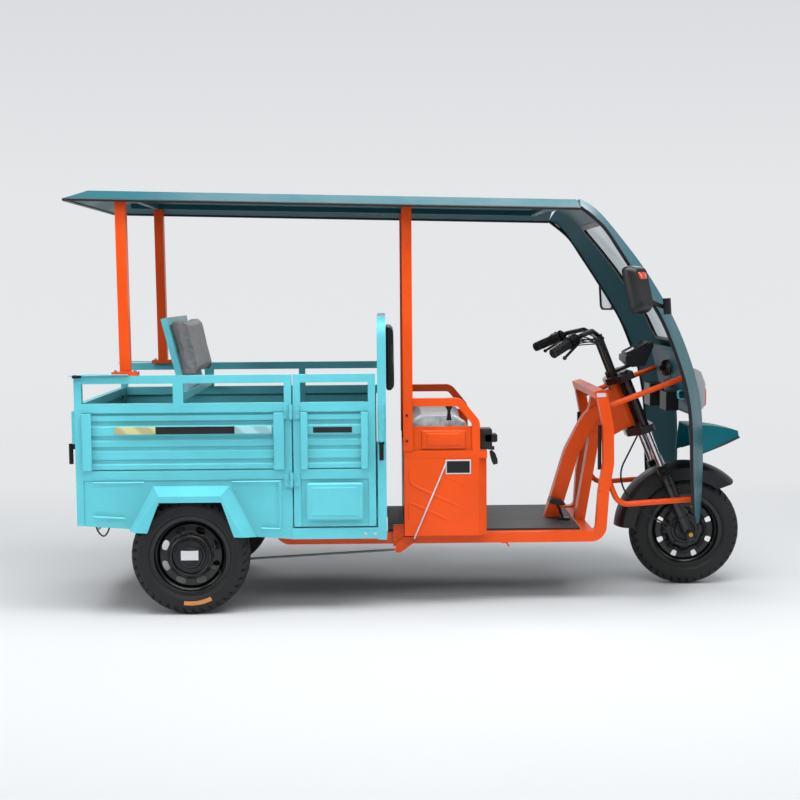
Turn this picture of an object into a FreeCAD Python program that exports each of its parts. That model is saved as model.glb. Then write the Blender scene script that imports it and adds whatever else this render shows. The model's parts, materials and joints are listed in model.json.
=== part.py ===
import FreeCAD, Part
import math
import os

# Electric cargo tricycle with a passenger bed, a roof and a front shield.
# Millimetres. X points forward, Y to the vehicle's left, Z up, ground at Z = 0.
# Every place is measured from the rear axle's vertical plane (X = 0); the export
# step moves the whole model so that X = 0 is the middle of its overall length.

Vector = FreeCAD.Vector

# ---- driving dimensions -------------------------------------------------------
wheelbase = 2153.0
rear_half_track = 479.0

tyre_radius = 245.0
tyre_width = 96.0
rim_radius = 166.0
rim_well_radius = 140.0
rim_width = 78.0
hub_radius = 27.0

bed_tail = -464.0
bed_nose = 812.0
bed_half_width = 500.0
post_size = 30.0
top_rail_z = 990.0
top_rail_height = 33.0
mid_rail_z = 875.0
mid_rail_height = 38.0
low_rail_z = 598.0
low_rail_height = 40.0
hoop_top = 1223.0
hem_tail_z = 372.0
hem_door_z = 308.0
sill_height = 46.0
sheet = 5.0
panel_depth = 12.0
rear_deck_z = 545.0
rear_deck_nose = 372.0
bench_tail = -52.0
luggage_border = 14.0
luggage_rise = 3.0
well_floor_z = 368.0
floor_thickness = 16.0
bulkhead_depth = 36.0
bench_half_width = 285.0
bench_height = 120.0
bench_nose = 330.0
bench_wall = 12.0

door_tail = 430.0
door_nose = 768.0
door_gap = 6.0
door_wall = 26.0
tailgate_wall = 26.0
lamp_inner = 350.0
lamp_outer = 452.0
lamp_depth = 14.0
lamp_proud = 3.0
lamp_pocket_gap = 0.5
gate_gap = 6.0
tail_panel_height = 52.0
hinge_offset = 9.0
hinge_clearance = 0.6
leaf_setback = 9.5

arch_depth = 62.0
arch_wall = 5.0
tyre_clearance = 8.0

rail_tube = 45.0
rail_half_spacing = 330.0
rail_z = 280.0
rail_kick_z = 455.0

floor_nose = 1640.0
mat_thickness = 8.0
floor_plate = 6.0

seat_tail = 886.0
seat_nose = 1233.0
seat_half_width = 424.0
seat_box_z = 628.0
seat_box_wall = 12.0
seat_box_chamfer = 36.0
arm_tube = 33.0
arm_top_z = 881.0
seat_cushion_top_z = 790.0
cushion_gap = 0.5
arm_y = seat_half_width - arm_tube / 2 - 2

pillar_tube = 42.0
rear_pillar_x = -256.0
rear_pillar_half_spacing = 462.0
mid_pillar_x = 903.0
mid_pillar_width = 40.0
pillar_reach = 1790.0
pillar_lean = 6.0
foot_plate = 15.0

roof_tail = -484.0
roof_nose = 1606.0
roof_half_width = 525.0
roof_crown_half_width = 405.0
roof_tail_z = 1708.0
roof_rise = 42.0
roof_skin = 5.0
roof_pitch_deg = 1.4

rake_deg = 22.1
head_top_x = 1831.6
head_top_z = 905.0
head_tube_length = 205.0
head_tube_radius = 27.0
neck_half_width = 26.0
bore_run_out = 60.0
steerer_radius = 17.0
bearing_gap = 0.05
fork_half_spacing = 104.0
fork_offset = 49.5
stanchion_radius = 17.0
slider_radius = 24.0
grip_radius = 20.0
axle_radius = 8.0
yoke_thickness = 30.0

shield_skin = 5.0
shield_hem_z = 768.0
skirt_half_gap = 238.0
window_half_width = 318.0
window_low_z = 1100.0
window_high_z = 1612.0
glass_thickness = 4.0
glass_gap = 1.0

lamp_pod_half_width = 76.0

fender_half_width = 76.0
fender_clearance = 32.0
fender_skirt = 44.0
fender_start_deg = 46.0
fender_sweep_deg = 130.0

axle_tube_radius = 29.0
stub_radius = 15.0
spring_width = 50.0
spring_half_spacing = 330.0
spring_half_length = 288.0

plate_hole_spacing = 140.0
plate_hole_radius = 3.5
plate_hole_z = 345.0


# ---- small makers -------------------------------------------------------------
def box(x0, x1, y0, y1, z0, z1):
    """A box between two corners."""
    return Part.makeBox(x1 - x0, y1 - y0, z1 - z0, Vector(x0, y0, z0))


def polygon_face(points):
    return Part.Face(Part.makePolygon(points + [points[0]]))


def slab_y(outline, y0, y1):
    """An outline of (x, z) points, extruded from y0 to y1."""
    face = polygon_face([Vector(x, y0, z) for x, z in outline])
    return face.extrude(Vector(0, y1 - y0, 0))


def slab_x(outline, x0, x1):
    """An outline of (y, z) points, extruded from x0 to x1."""
    face = polygon_face([Vector(x0, y, z) for y, z in outline])
    return face.extrude(Vector(x1 - x0, 0, 0))


def slab_z(outline, z0, z1):
    """An outline of (x, y) points, extruded from z0 to z1."""
    face = polygon_face([Vector(x, y, z0) for x, y in outline])
    return face.extrude(Vector(0, 0, z1 - z0))


def rod(start, end, radius):
    """A round bar from one point to another."""
    along = end - start
    return Part.makeCylinder(radius, along.Length, start, along)


def rounded_path(points, bend_radius):
    """A wire through points, with a tangent arc of bend_radius at each inner one."""
    edges = []
    run_start = points[0]
    for before, corner, after in zip(points, points[1:], points[2:]):
        way_in = (before - corner).normalize()
        way_out = (after - corner).normalize()
        half_angle = way_in.getAngle(way_out) / 2
        setback = bend_radius / math.tan(half_angle)
        bisector = (way_in + way_out).normalize()
        arc_start = corner + way_in * setback
        arc_end = corner + way_out * setback
        reach = bend_radius / math.sin(half_angle) - bend_radius
        arc_middle = corner + bisector * reach
        if (arc_start - run_start).Length > 0.01:
            edges.append(Part.LineSegment(run_start, arc_start).toShape())
        edges.append(Part.Arc(arc_start, arc_middle, arc_end).toShape())
        run_start = arc_end
    edges.append(Part.LineSegment(run_start, points[-1]).toShape())
    return Part.Wire(edges)


def pipe(points, radius, bend_radius):
    """A round bar bent along points."""
    path = rounded_path(points, bend_radius)
    along = points[1] - points[0]
    ring = Part.Wire(Part.makeCircle(radius, points[0], along))
    return path.makePipeShell([ring], True, False)


def flat_bar(points, depth, width, bend_radius):
    """A bar of rectangular section bent in the XZ plane; width runs along Y."""
    path = rounded_path(points, bend_radius)
    along = (points[1] - points[0]).normalize()
    side = Vector(0, 1, 0)
    up = along.cross(side)
    corners = []
    for across, rise in ((-1, -1), (1, -1), (1, 1), (-1, 1)):
        corners.append(points[0] + side * (across * width / 2) + up * (rise * depth / 2))
    ring = Part.makePolygon(corners + [corners[0]])
    return path.makePipeShell([ring], True, False)


def mirrored(shape):
    """The same shape on the other side of the vehicle."""
    return shape.mirror(Vector(0, 0, 0), Vector(0, 1, 0))


def joined(*shapes):
    """One shape fused from all the shapes given."""
    whole = shapes[0].fuse(list(shapes[1:]))
    return whole.removeSplitter()


def coped(shape, *neighbours):
    """The shape with whatever its neighbours fill taken away."""
    return shape.cut(list(neighbours))


def turned(profile, centre):
    """A closed (radius, y) profile revolved about the Y axis through centre."""
    points = [centre + Vector(radius, y, 0) for radius, y in profile]
    face = polygon_face(points)
    return face.revolve(centre, Vector(0, 1, 0), 360)


# ---- datum points -------------------------------------------------------------
rake = math.radians(rake_deg)
steer_down = Vector(math.sin(rake), 0, -math.cos(rake))
steer_ahead = Vector(math.cos(rake), 0, math.sin(rake))
head_top = Vector(head_top_x, 0, head_top_z)
front_axle = Vector(wheelbase, 0, tyre_radius)
rear_axle_z = tyre_radius


def steer_point(down, ahead, y):
    """A point given along the steering axis, ahead of it and to the left."""
    return head_top + steer_down * down + steer_ahead * ahead + Vector(0, y, 0)


axle_down = (front_axle - head_top).dot(steer_down)


# ---- chassis ------------------------------------------------------------------
def side_rail(side):
    """One frame tube: kicked up over the axle, level under the floor, up at the front."""
    y = side * rail_half_spacing
    points = [
        Vector(bed_tail + 40, y, rail_kick_z),
        Vector(rear_deck_nose - 72, y, rail_kick_z),
        Vector(rear_deck_nose, y, rail_z),
        Vector(1722, y, rail_z),
        Vector(1735, y, 470),
        Vector(1755, y, 590),
        Vector(1753, y, 745),
        Vector(1727, y, 884),
    ]
    path_start = flat_bar(points[:5], rail_tube, rail_tube, 45)
    upright = flat_bar(points[4:], rail_tube, rail_tube, 60)
    return path_start.fuse(upright)


def main_frame():
    """The two side rails and the cross tubes that join them."""
    rails = [side_rail(1), side_rail(-1)]
    half = rail_tube / 2
    inner = rail_half_spacing
    crosses = []
    for x, z in ((bed_tail + 62, rail_kick_z), (150, rail_kick_z), (560, rail_z),
                 (seat_tail + 12, rail_z), (1290, rail_z), (1522, rail_z), (1678, rail_z)):
        crosses.append(box(x - half, x + half, -inner, inner, z - half,
                           z + half - floor_plate))
    spine = flat_bar(spine_points(), 64, 62, 150)
    prop = flat_bar([Vector(1678, 0, rail_z), Vector(1748, 0, 690)], 44, 62, 1)
    top_plate = slab_y([(1702, 866), (1734, 862), (1750, 894), (1733, 906), (1694, 896)],
                       -inner, inner)
    neck = slab_y([(1700, 700), (1760, 640), (1898, 712), (1828, 884), (1770, 874),
                   (1738, 888)], -neck_half_width, neck_half_width)
    frame = joined(*rails, *crosses, spine, prop, top_plate, neck)
    above = rod(steer_point(-bore_run_out, 0, 0), steer_point(0, 0, 0), head_tube_radius)
    below = rod(steer_point(head_tube_length, 0, 0),
                steer_point(head_tube_length + bore_run_out, 0, 0), head_tube_radius)
    outer = rod(steer_point(0, 0, 0), steer_point(head_tube_length, 0, 0), head_tube_radius)
    bore = rod(steer_point(-bore_run_out, 0, 0),
               steer_point(head_tube_length + bore_run_out, 0, 0),
               steerer_radius + bearing_gap)
    return joined(frame.cut([above, below]), outer).cut(bore)


def spine_points():
    """The curved centre post from the floor up to the neck."""
    return [Vector(1545, 0, rail_z), Vector(1642, 0, 600), Vector(1725, 0, 760),
            Vector(1790, 0, 800)]


def foot_floor(frame):
    """The steel floor plate between the rails, ahead of the bed."""
    half = rail_half_spacing - rail_tube / 2
    top = rail_z + rail_tube / 2
    plate = box(bed_nose + 4, floor_nose, -half, half, top - floor_plate, top)
    return plate.cut(frame)


def floor_mat(frame):
    """The rubber mat, in front of the seat and behind it."""
    half = rail_half_spacing - rail_tube / 2
    low = rail_z + rail_tube / 2
    ahead = box(seat_nose + 2, floor_nose, -half, half, low, low + mat_thickness)
    behind = box(bed_nose + 4, seat_tail - 2, -half, half, low, low + mat_thickness)
    return Part.Compound([ahead.cut(frame), behind.cut(frame)])


def shield_struts(frame, shield):
    """Four tubes that hold the shield off the uprights."""
    y = rail_half_spacing
    upper = rod(Vector(1752, y, 832), Vector(2098, y, 962), 12)
    lower = pipe([Vector(1757, y, 520), Vector(1800, y, 412), Vector(2150, y, 434)], 12, 60)
    right_and_left = []
    for tube in (upper, lower, mirrored(upper), mirrored(lower)):
        right_and_left.append(coped(tube, frame, shield))
    solids = []
    for tube in right_and_left:
        solids.append(max(tube.Solids, key=lambda solid: solid.Volume))
    return Part.Compound(solids)


# ---- driver's seat ------------------------------------------------------------
def seat_box():
    """The folded steel box under the driver, open inside."""
    low = rail_z + rail_tube / 2
    half = seat_half_width
    corner = seat_box_chamfer
    outline = [(seat_tail, -half), (seat_nose - corner, -half), (seat_nose, -half + corner),
               (seat_nose, half - corner), (seat_nose - corner, half), (seat_tail, half)]
    outer = slab_z(outline, low, seat_box_z)
    wall = seat_box_wall
    inner = box(seat_tail + wall, seat_nose - corner - wall, -half + wall, half - wall,
                low + wall, seat_box_z - wall)
    return outer.cut(inner)


def battery_pack():
    """The battery as one plain block inside the seat box."""
    low = rail_z + rail_tube / 2
    return box(seat_tail + 40, seat_nose - 80, -300, 300, low + 12, low + 190)


def arm_frame(side):
    """The tube frame beside the driver, with its pressed side panel."""
    y = side * arm_y
    half = arm_tube / 2
    low = seat_box_z + half
    front = seat_nose - 46
    pillar_face = mid_pillar_x + mid_pillar_width / 2
    hoop = flat_bar([Vector(pillar_face, y, arm_top_z - half),
                     Vector(front - 70, y, arm_top_z - half),
                     Vector(front, y, arm_top_z - 102),
                     Vector(front, y, low)], arm_tube, arm_tube, 38)
    base = box(seat_tail, seat_nose, y - half, y + half, seat_box_z, seat_box_z + arm_tube)
    panel = box(pillar_face, front, y - 5, y + 5, low, seat_box_z + 134)
    return joined(hoop, base, panel)


def driver_cushion():
    """The driver's seat pad, between the arm frames."""
    half = seat_half_width - arm_tube - 2 - 14
    low = seat_box_z + cushion_gap
    pad = box(seat_tail + 6, seat_nose - 62, -half, half, low, seat_cushion_top_z)
    upright_edges = [e for e in pad.Edges if abs(e.BoundBox.ZLength) > 50]
    return pad.makeFillet(35, upright_edges)


# ---- bed ----------------------------------------------------------------------
def hem_z(x):
    """Height of the side's lower edge, which rises towards the tail."""
    slope = (hem_tail_z - hem_door_z) / (door_tail - bed_tail)
    return hem_door_z + slope * max(door_tail - x, 0)


def corrugated_outline(y_face, y_back):
    """Pressed ridges between the middle and lower rails, as a (y, z) outline."""
    top = mid_rail_z - mid_rail_height
    low = low_rail_z
    tall = top - low
    ridge = y_face + (y_back - y_face) * 0.05
    valley = y_face + (y_back - y_face) * 0.60
    stations = [(0.00, valley), (0.03, valley), (0.055, ridge), (0.135, ridge), (0.16, valley),
                (0.22, valley), (0.245, ridge), (0.39, ridge), (0.415, valley), (0.47, valley),
                (0.49, ridge), (0.58, ridge), (0.605, valley), (0.65, valley), (0.67, ridge),
                (0.80, ridge), (0.825, valley), (0.875, valley), (0.90, ridge), (0.975, ridge),
                (1.00, valley)]
    face = [(y, top - part * tall) for part, y in stations]
    return face + [(y_back, low), (y_back, top)]


def rails_and_posts(x0, x1, posts, inner_face):
    """The three level rails and the upright posts of one side's frame."""
    outer = -bed_half_width
    bars = []
    for top, height in ((top_rail_z, top_rail_height), (mid_rail_z, mid_rail_height),
                        (low_rail_z, low_rail_height)):
        bars.append(box(x0, x1, outer, inner_face, top - height, top))
    for post_x0, post_x1, low, high in posts:
        bars.append(box(post_x0, post_x1, outer, inner_face, low, high))
    return bars


def wheel_hole(y0, y1):
    """Room for a rear wheel through the side panel."""
    return rod(Vector(0, y0, rear_axle_z), Vector(0, y1, rear_axle_z), tyre_radius + 14)


def lip_opening(y0, y1):
    """The opening in the outer lip of a wheel arch."""
    return slab_y([(-205, 250), (-118, 474), (137, 474), (214, 250)], y0, y1)


def fixed_side(x1, posts):
    """A bed side in right-hand coordinates, from the tail to x1."""
    outer = -bed_half_width
    inner = outer + post_size
    bars = rails_and_posts(bed_tail, x1, posts, inner)
    ridge_panel = slab_x(corrugated_outline(outer + 3, outer + 3 + panel_depth),
                         bed_tail + 20, x1 - 10)
    low_panel = slab_y([(bed_tail + 4, hem_z(bed_tail)), (door_tail, hem_z(door_tail)),
                        (x1, hem_z(x1)), (x1, low_rail_z - 5), (bed_tail + 4, low_rail_z - 5)],
                       outer + 3, outer + 3 + sheet)
    side = joined(*bars, ridge_panel, low_panel)
    return side.cut(wheel_hole(outer - 1, inner + 1))


def side_right():
    """The right side up to the door, with the sill that runs on below it."""
    posts = [(bed_tail, bed_tail + post_size, hem_z(bed_tail), top_rail_z),
             (-60, -18, mid_rail_z - 5, top_rail_z - 5),
             (door_tail - door_gap - post_size, door_tail - door_gap, hem_z(door_tail),
              top_rail_z)]
    side = fixed_side(door_tail - door_gap, posts)
    sill = box(door_tail - door_gap - 5, bed_nose - bulkhead_depth, -bed_half_width,
               -bed_half_width + post_size, hem_door_z, hem_door_z + sill_height)
    return side.fuse(sill).removeSplitter()


def side_left():
    """The left side in one piece from tail to nose."""
    posts = [(bed_tail, bed_tail + post_size, hem_z(bed_tail), top_rail_z),
             (-60, -18, mid_rail_z - 5, top_rail_z - 5),
             (door_tail - door_gap - post_size, door_tail - door_gap, hem_z(door_tail),
              top_rail_z)]
    return mirrored(fixed_side(bed_nose - bulkhead_depth, posts))


def side_door():
    """The right-hand door, hinged at its rear edge."""
    outer = -bed_half_width
    inner = outer + door_wall
    x0, x1 = door_tail, door_nose
    low = hem_door_z + sill_height + door_gap
    stile = post_size
    posts = [(x0, x0 + stile, low, top_rail_z), (x1 - stile, x1, low, top_rail_z)]
    bars = rails_and_posts(x0, x1, posts, inner)
    ridge_panel = slab_x(corrugated_outline(outer + 4, outer + 4 + panel_depth),
                         x0 + 20, x1 - 20)
    low_panel = box(x0 + 10, x1 - 10, outer + 3, outer + 3 + sheet, low, low_rail_z)
    return joined(*bars, ridge_panel, low_panel)


def wheel_arch():
    """The flared cover over the right rear wheel."""
    panel_y = -bed_half_width + 3
    lip_y = -bed_half_width - arch_depth
    foot = [(-252, 350), (-150, 534), (166, 534), (273, 318)]
    lip = [(-222, 352), (-116, 500), (134, 500), (222, 328)]
    outer = loft_between(foot, panel_y, lip, lip_y)
    gap = arch_wall
    inner_foot = [(-252 + 2 * gap, 300), (-150 + gap, 534 - gap), (166 - gap, 534 - gap),
                  (273 - 2 * gap, 270)]
    inner_lip = [(-222 + 2 * gap, 300), (-116 + gap, 500 - gap), (134 - gap, 500 - gap),
                 (222 - 2 * gap, 270)]
    inner = loft_between(inner_foot, panel_y + 1, inner_lip, lip_y + gap)
    tyre_side = -rear_half_track - tyre_width / 2 - tyre_clearance
    tyre_room = rod(Vector(0, tyre_side, rear_axle_z), Vector(0, panel_y + 1, rear_axle_z),
                    tyre_radius + tyre_clearance)
    return outer.cut([inner, tyre_room, lip_opening(lip_y - 1, panel_y + 1)])


def loft_between(first, first_y, second, second_y):
    """A ruled solid between two (x, z) outlines at two values of y."""
    rings = []
    for outline, y in ((first, first_y), (second, second_y)):
        points = [Vector(x, y, z) for x, z in outline]
        rings.append(Part.makePolygon(points + [points[0]]))
    return Part.makeLoft(rings, True, True)


def front_bulkhead():
    """The hoop and wall between the bed and the driver's seat."""
    outer = bed_half_width
    x1 = bed_nose
    x0 = x1 - bulkhead_depth
    leg_y = outer - post_size / 2
    hoop = flat_hoop(x0, x1, leg_y, hoop_top)
    low_bar = box(x0, x1, -outer + 1, outer - 1, well_floor_z, well_floor_z + 36)
    mid_bar = box(x0, x1, -outer + 1, outer - 1, mid_rail_z - 38, mid_rail_z)
    skin = box(x0 + 10, x0 + 16, -outer + 8, outer - 8, well_floor_z, mid_rail_z - 5)
    foot = box(x0, x1, -outer + 1, outer - 1, rail_z + rail_tube / 2, rail_z + rail_tube / 2 + 40)
    return joined(hoop, low_bar, mid_bar, skin, foot)


def flat_hoop(x0, x1, leg_y, top):
    """An upside-down U of flat section across the bed."""
    half = post_size / 2
    bend = 70
    low = rail_z + rail_tube / 2
    path = rounded_path([Vector(x0, -leg_y, low), Vector(x0, -leg_y, top - half),
                         Vector(x0, leg_y, top - half), Vector(x0, leg_y, low)], bend)
    corners = [Vector(x0, -leg_y - half, low), Vector(x1, -leg_y - half, low),
               Vector(x1, -leg_y + half, low), Vector(x0, -leg_y + half, low)]
    ring = Part.makePolygon(corners + [corners[0]])
    return path.makePipeShell([ring], True, False)


def bed_floor(frame):
    """The raised deck over the axle, its riser and the foot well."""
    half = bed_half_width - post_size
    deck = box(bed_tail + tailgate_wall + gate_gap, rear_deck_nose, -half, half,
               rear_deck_z - floor_thickness, rear_deck_z)
    riser = box(rear_deck_nose - floor_thickness, rear_deck_nose, -half, half,
                well_floor_z - floor_thickness, rear_deck_z)
    nose = bed_nose - bulkhead_depth
    well = box(rear_deck_nose - floor_thickness, nose, -half, half,
               well_floor_z - floor_thickness, well_floor_z)
    panel = box(bed_tail + tailgate_wall + gate_gap + luggage_border,
                bench_tail - luggage_border, -half + luggage_border, half - luggage_border,
                rear_deck_z, rear_deck_z + luggage_rise)
    return coped(joined(deck, riser, well, panel), frame)


def tail_panel():
    """The fixed cross panel below the tailgate."""
    half = bed_half_width - post_size
    low = hem_tail_z
    high = hem_tail_z + tail_panel_height
    panel = box(bed_tail, bed_tail + tailgate_wall, -half, half, low, high)
    pockets = [lamp_block(side, lamp_pocket_gap) for side in (1, -1)]
    return panel.cut(pockets)


def lamp_block(side, grow):
    """A tail lamp's body on one side, or its pocket when grown."""
    inner = side * (lamp_inner - grow)
    outer = side * (lamp_outer + grow)
    return box(bed_tail - lamp_proud, bed_tail + lamp_depth + grow, min(inner, outer),
               max(inner, outer), hem_tail_z + 8 - grow, hem_tail_z + 44 + grow)


def tailgate():
    """The drop-down tailgate, hinged along its lower edge."""
    half = bed_half_width - post_size - gate_gap
    low = hem_tail_z + tail_panel_height + gate_gap
    x0, x1 = bed_tail, bed_tail + tailgate_wall
    border = 36
    frame = box(x0, x1, -half, half, low, mid_rail_z)
    back_pocket = box(x0 - 1, x0 + 4, -half + border, half - border, low + border,
                      mid_rail_z - border)
    front_pocket = box(x0 + 12, x1 + 1, -half + border, half - border, low + border,
                       mid_rail_z - border)
    ribs = []
    for part in (0.2, 0.5, 0.8):
        z = low + part * (mid_rail_z - low)
        ribs.append(box(x0 + 1, x0 + 6, -half + border + 20, half - border - 20, z - 22, z + 22))
    return joined(frame.cut([back_pocket, front_pocket]), *ribs)


def hinge_axis_door():
    """Where the door turns: just outside its rear lower corner."""
    return Vector(door_tail - hinge_offset, -bed_half_width - hinge_offset, 0)


def hinge_axis_tailgate():
    """Where the tailgate turns: just behind its lower edge."""
    low = hem_tail_z + tail_panel_height + gate_gap
    return Vector(bed_tail - hinge_offset, 0, low - hinge_offset)


def door_knuckles():
    """The door's half of its two hinges, and the pins' half on the post."""
    axis = hinge_axis_door()
    turning = []
    fixed = []
    for low in (526.0, 806.0):
        middle = low + 30
        pin = rod(Vector(axis.x, axis.y, low), Vector(axis.x, axis.y, low + 60), 4)
        lower = rod(Vector(axis.x, axis.y, low), Vector(axis.x, axis.y, middle - 1), 8)
        leaf_fixed = box(axis.x - 30, axis.x, -bed_half_width - 3, -bed_half_width,
                         low, middle - 1)
        leaf_above = box(axis.x - 30, axis.x - leaf_setback, -bed_half_width - 3,
                         -bed_half_width, middle - 1, low + 60)
        fixed.append(joined(pin, lower, leaf_fixed, leaf_above))
        upper = rod(Vector(axis.x, axis.y, middle), Vector(axis.x, axis.y, low + 60), 8)
        leaf_turning = box(door_tail - door_gap + hinge_clearance, axis.x + 36,
                           -bed_half_width - 3, -bed_half_width, middle, low + 60)
        bore = rod(Vector(axis.x, axis.y, middle - 1), Vector(axis.x, axis.y, low + 61),
                   4 + bearing_gap)
        leaf_below = box(axis.x + leaf_setback, axis.x + 36, -bed_half_width - 3,
                         -bed_half_width, low, middle)
        leaf_below = leaf_below.common(box(door_tail, door_nose, -600, 0, 0, 2000))
        turning.append(joined(upper, leaf_turning, leaf_below).cut(bore))
    return turning, fixed


def tailgate_knuckles():
    """The tailgate's half of its three hinges, and the pins' half on the tail panel."""
    axis = hinge_axis_tailgate()
    turning = []
    fixed = []
    panel_top = hem_tail_z + tail_panel_height
    for start in (-330.0, -30.0, 270.0):
        middle = start + 30
        pin = rod(Vector(axis.x, start, axis.z), Vector(axis.x, start + 60, axis.z), 4)
        half_fixed = rod(Vector(axis.x, start, axis.z), Vector(axis.x, middle - 1, axis.z), 8)
        leaf_fixed = box(bed_tail - 3, bed_tail, start, middle - 1, axis.z - 30, axis.z)
        fixed.append(joined(pin, half_fixed, leaf_fixed))
        half_turning = rod(Vector(axis.x, middle, axis.z), Vector(axis.x, start + 60, axis.z), 8)
        leaf_turning = box(bed_tail - 3, bed_tail, middle, start + 60,
                           panel_top + hinge_clearance, axis.z + 36)
        bore = rod(Vector(axis.x, middle - 1, axis.z), Vector(axis.x, start + 61, axis.z),
                   4 + bearing_gap)
        turning.append(joined(half_turning, leaf_turning).cut(bore))
    return turning, fixed


def latches():
    """The sprung latches on the rear posts and on the post ahead of the door."""
    solids = []
    for side in (1, -1):
        y = side * (bed_half_width - post_size / 2)
        bracket = box(bed_tail - 12, bed_tail, y - 14, y + 14, 690, 846)
        grip = rod(Vector(bed_tail - 20, y, 628), Vector(bed_tail - 20, y, 712), 9)
        solids.append(joined(bracket, grip))
    x = door_nose + 24
    y = -bed_half_width
    bracket = box(x - 12, x + 12, y - 10, y, 700, 864)
    grip = rod(Vector(x, y - 16, 636), Vector(x, y - 16, 722), 9)
    solids.append(joined(bracket, grip))
    return Part.Compound(solids)


# ---- passenger seat -----------------------------------------------------------
def passenger_seat_stand():
    """The folded steel stand of the bench, open below."""
    half = bench_half_width
    wall = bench_wall
    stand = box(bench_tail, bench_nose, -half, half, rear_deck_z, rear_deck_z + bench_height)
    hollow = box(bench_tail + wall, bench_nose - wall, -half + wall, half - wall,
                 rear_deck_z - 1, rear_deck_z + bench_height - wall)
    return stand.cut(hollow)


def passenger_back_frame():
    """The cross rail between the bed's sides and the leaning frame it carries."""
    reach = bed_half_width - post_size
    cross = box(-60, -24, -reach, reach, 880, 916)
    return joined(cross, back_slab(26, 0, bench_half_width))


def back_slab(depth, ahead, half):
    """A leaning slab of the bench's back, from the seat to the head of the back."""
    lean = math.radians(14)
    foot_x, foot_z = -62 + ahead, 905
    tall = 320
    top_x = foot_x - tall * math.sin(lean)
    top_z = foot_z + tall * math.cos(lean)
    dx = depth * math.cos(lean)
    dz = depth * math.sin(lean)
    return slab_y([(foot_x, foot_z), (foot_x + dx, foot_z + dz), (top_x + dx, top_z + dz),
                   (top_x, top_z)], -half, half)


def passenger_back_pad():
    """The bench's back cushion, on the front of its frame."""
    half = 275
    pad = back_slab(58, 26 / math.cos(math.radians(14)) + cushion_gap, half)
    floor_cut = box(-200, 200, -half - 1, half + 1, 800, 960)
    top_cut = box(-300, 200, -half - 1, half + 1, 1222, 1400)
    return pad.cut([floor_cut, top_cut])


def passenger_cushion():
    """The bench's seat cushion."""
    low = rear_deck_z + bench_height + cushion_gap
    pad = box(-50, 340, -290, 290, low, low + 100)
    upright_edges = [e for e in pad.Edges if abs(e.BoundBox.ZLength) > 50]
    return pad.makeFillet(40, upright_edges)


def driver_back_pad():
    """The driver's back cushion, on the front of the bed's hoop."""
    x0 = bed_nose + cushion_gap
    pad = slab_y([(x0, 880), (x0 + 30, 880), (x0 + 26, 1195), (x0, 1195)], -250, 250)
    return pad


def back_board():
    """The steel plate in the hoop that carries the driver's back cushion."""
    x0 = bed_nose - 14
    return box(x0, bed_nose, -245, 245, mid_rail_z, hoop_top - post_size)


# ---- roof ---------------------------------------------------------------------
def roof_panel():
    """A long inverted tray with sloping sides and a sloping tail."""
    outer = roof_tray(0)
    inner = roof_tray(roof_skin)
    shell = outer.cut(inner)
    return tilt_roof(shell)


def roof_tray(inset):
    """The roof's outer form, or its inner form when inset."""
    low = roof_tail_z - (1 if inset else 0)
    high = roof_tail_z + roof_rise - inset
    grow = inset * 1.2
    nose = roof_nose + (1 if inset else 0)
    crown = roof_crown_half_width - grow
    edge = roof_half_width - grow - inset
    tail_run = 78
    foot = [(roof_tail + grow + inset, -edge), (nose, -edge), (nose, edge),
            (roof_tail + grow + inset, edge)]
    top = [(roof_tail + tail_run + grow, -crown), (nose, -crown), (nose, crown),
           (roof_tail + tail_run + grow, crown)]
    rings = []
    for outline, z in ((foot, low), (top, high)):
        points = [Vector(x, y, z) for x, y in outline]
        rings.append(Part.makePolygon(points + [points[0]]))
    return Part.makeLoft(rings, True, True)


def tilt_roof(shape):
    """Pitch the roof down towards its nose, about its tail edge."""
    tilted = shape.copy()
    tilted.rotate(Vector(roof_tail, 0, roof_tail_z), Vector(0, 1, 0), roof_pitch_deg)
    return tilted


def roof_frame():
    """Two long rails and three cross rails under the roof skin."""
    bars = []
    high = roof_tail_z + roof_rise - roof_skin
    low = high - 22
    for side in (1, -1):
        y = side * (roof_crown_half_width - 40)
        bars.append(box(roof_tail + 110, roof_nose - 60, y - 11, y + 11, low, high))
    for x in (rear_pillar_x, mid_pillar_x, roof_nose - 90):
        bars.append(box(x - 14, x + 14, -roof_crown_half_width + 12,
                        roof_crown_half_width - 12, low, high))
    return tilt_roof(joined(*bars))


def pillars(roof, roof_bars):
    """The four posts that carry the roof, with feet and roof brackets."""
    posts = []
    half = pillar_tube / 2
    lean = pillar_lean
    rear = slab_y([(rear_pillar_x - half, top_rail_z + foot_plate),
                   (rear_pillar_x + half, top_rail_z + foot_plate),
                   (rear_pillar_x + half - lean, pillar_reach),
                   (rear_pillar_x - half - lean, pillar_reach)],
                  rear_pillar_half_spacing - half, rear_pillar_half_spacing + half)
    foot = box(rear_pillar_x - 52, rear_pillar_x + 52, rear_pillar_half_spacing - half,
               bed_half_width, top_rail_z, top_rail_z + foot_plate)
    half = mid_pillar_width / 2
    mid = box(mid_pillar_x - half, mid_pillar_x + half, arm_y - half, arm_y + half,
              seat_box_z + arm_tube, pillar_reach)
    for post in (joined(rear, foot), mid):
        trimmed = coped(post, roof, roof_bars)
        biggest = max(trimmed.Solids, key=lambda solid: solid.Volume)
        posts.append(biggest)
        posts.append(mirrored(biggest))
    return Part.Compound(posts)


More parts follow.
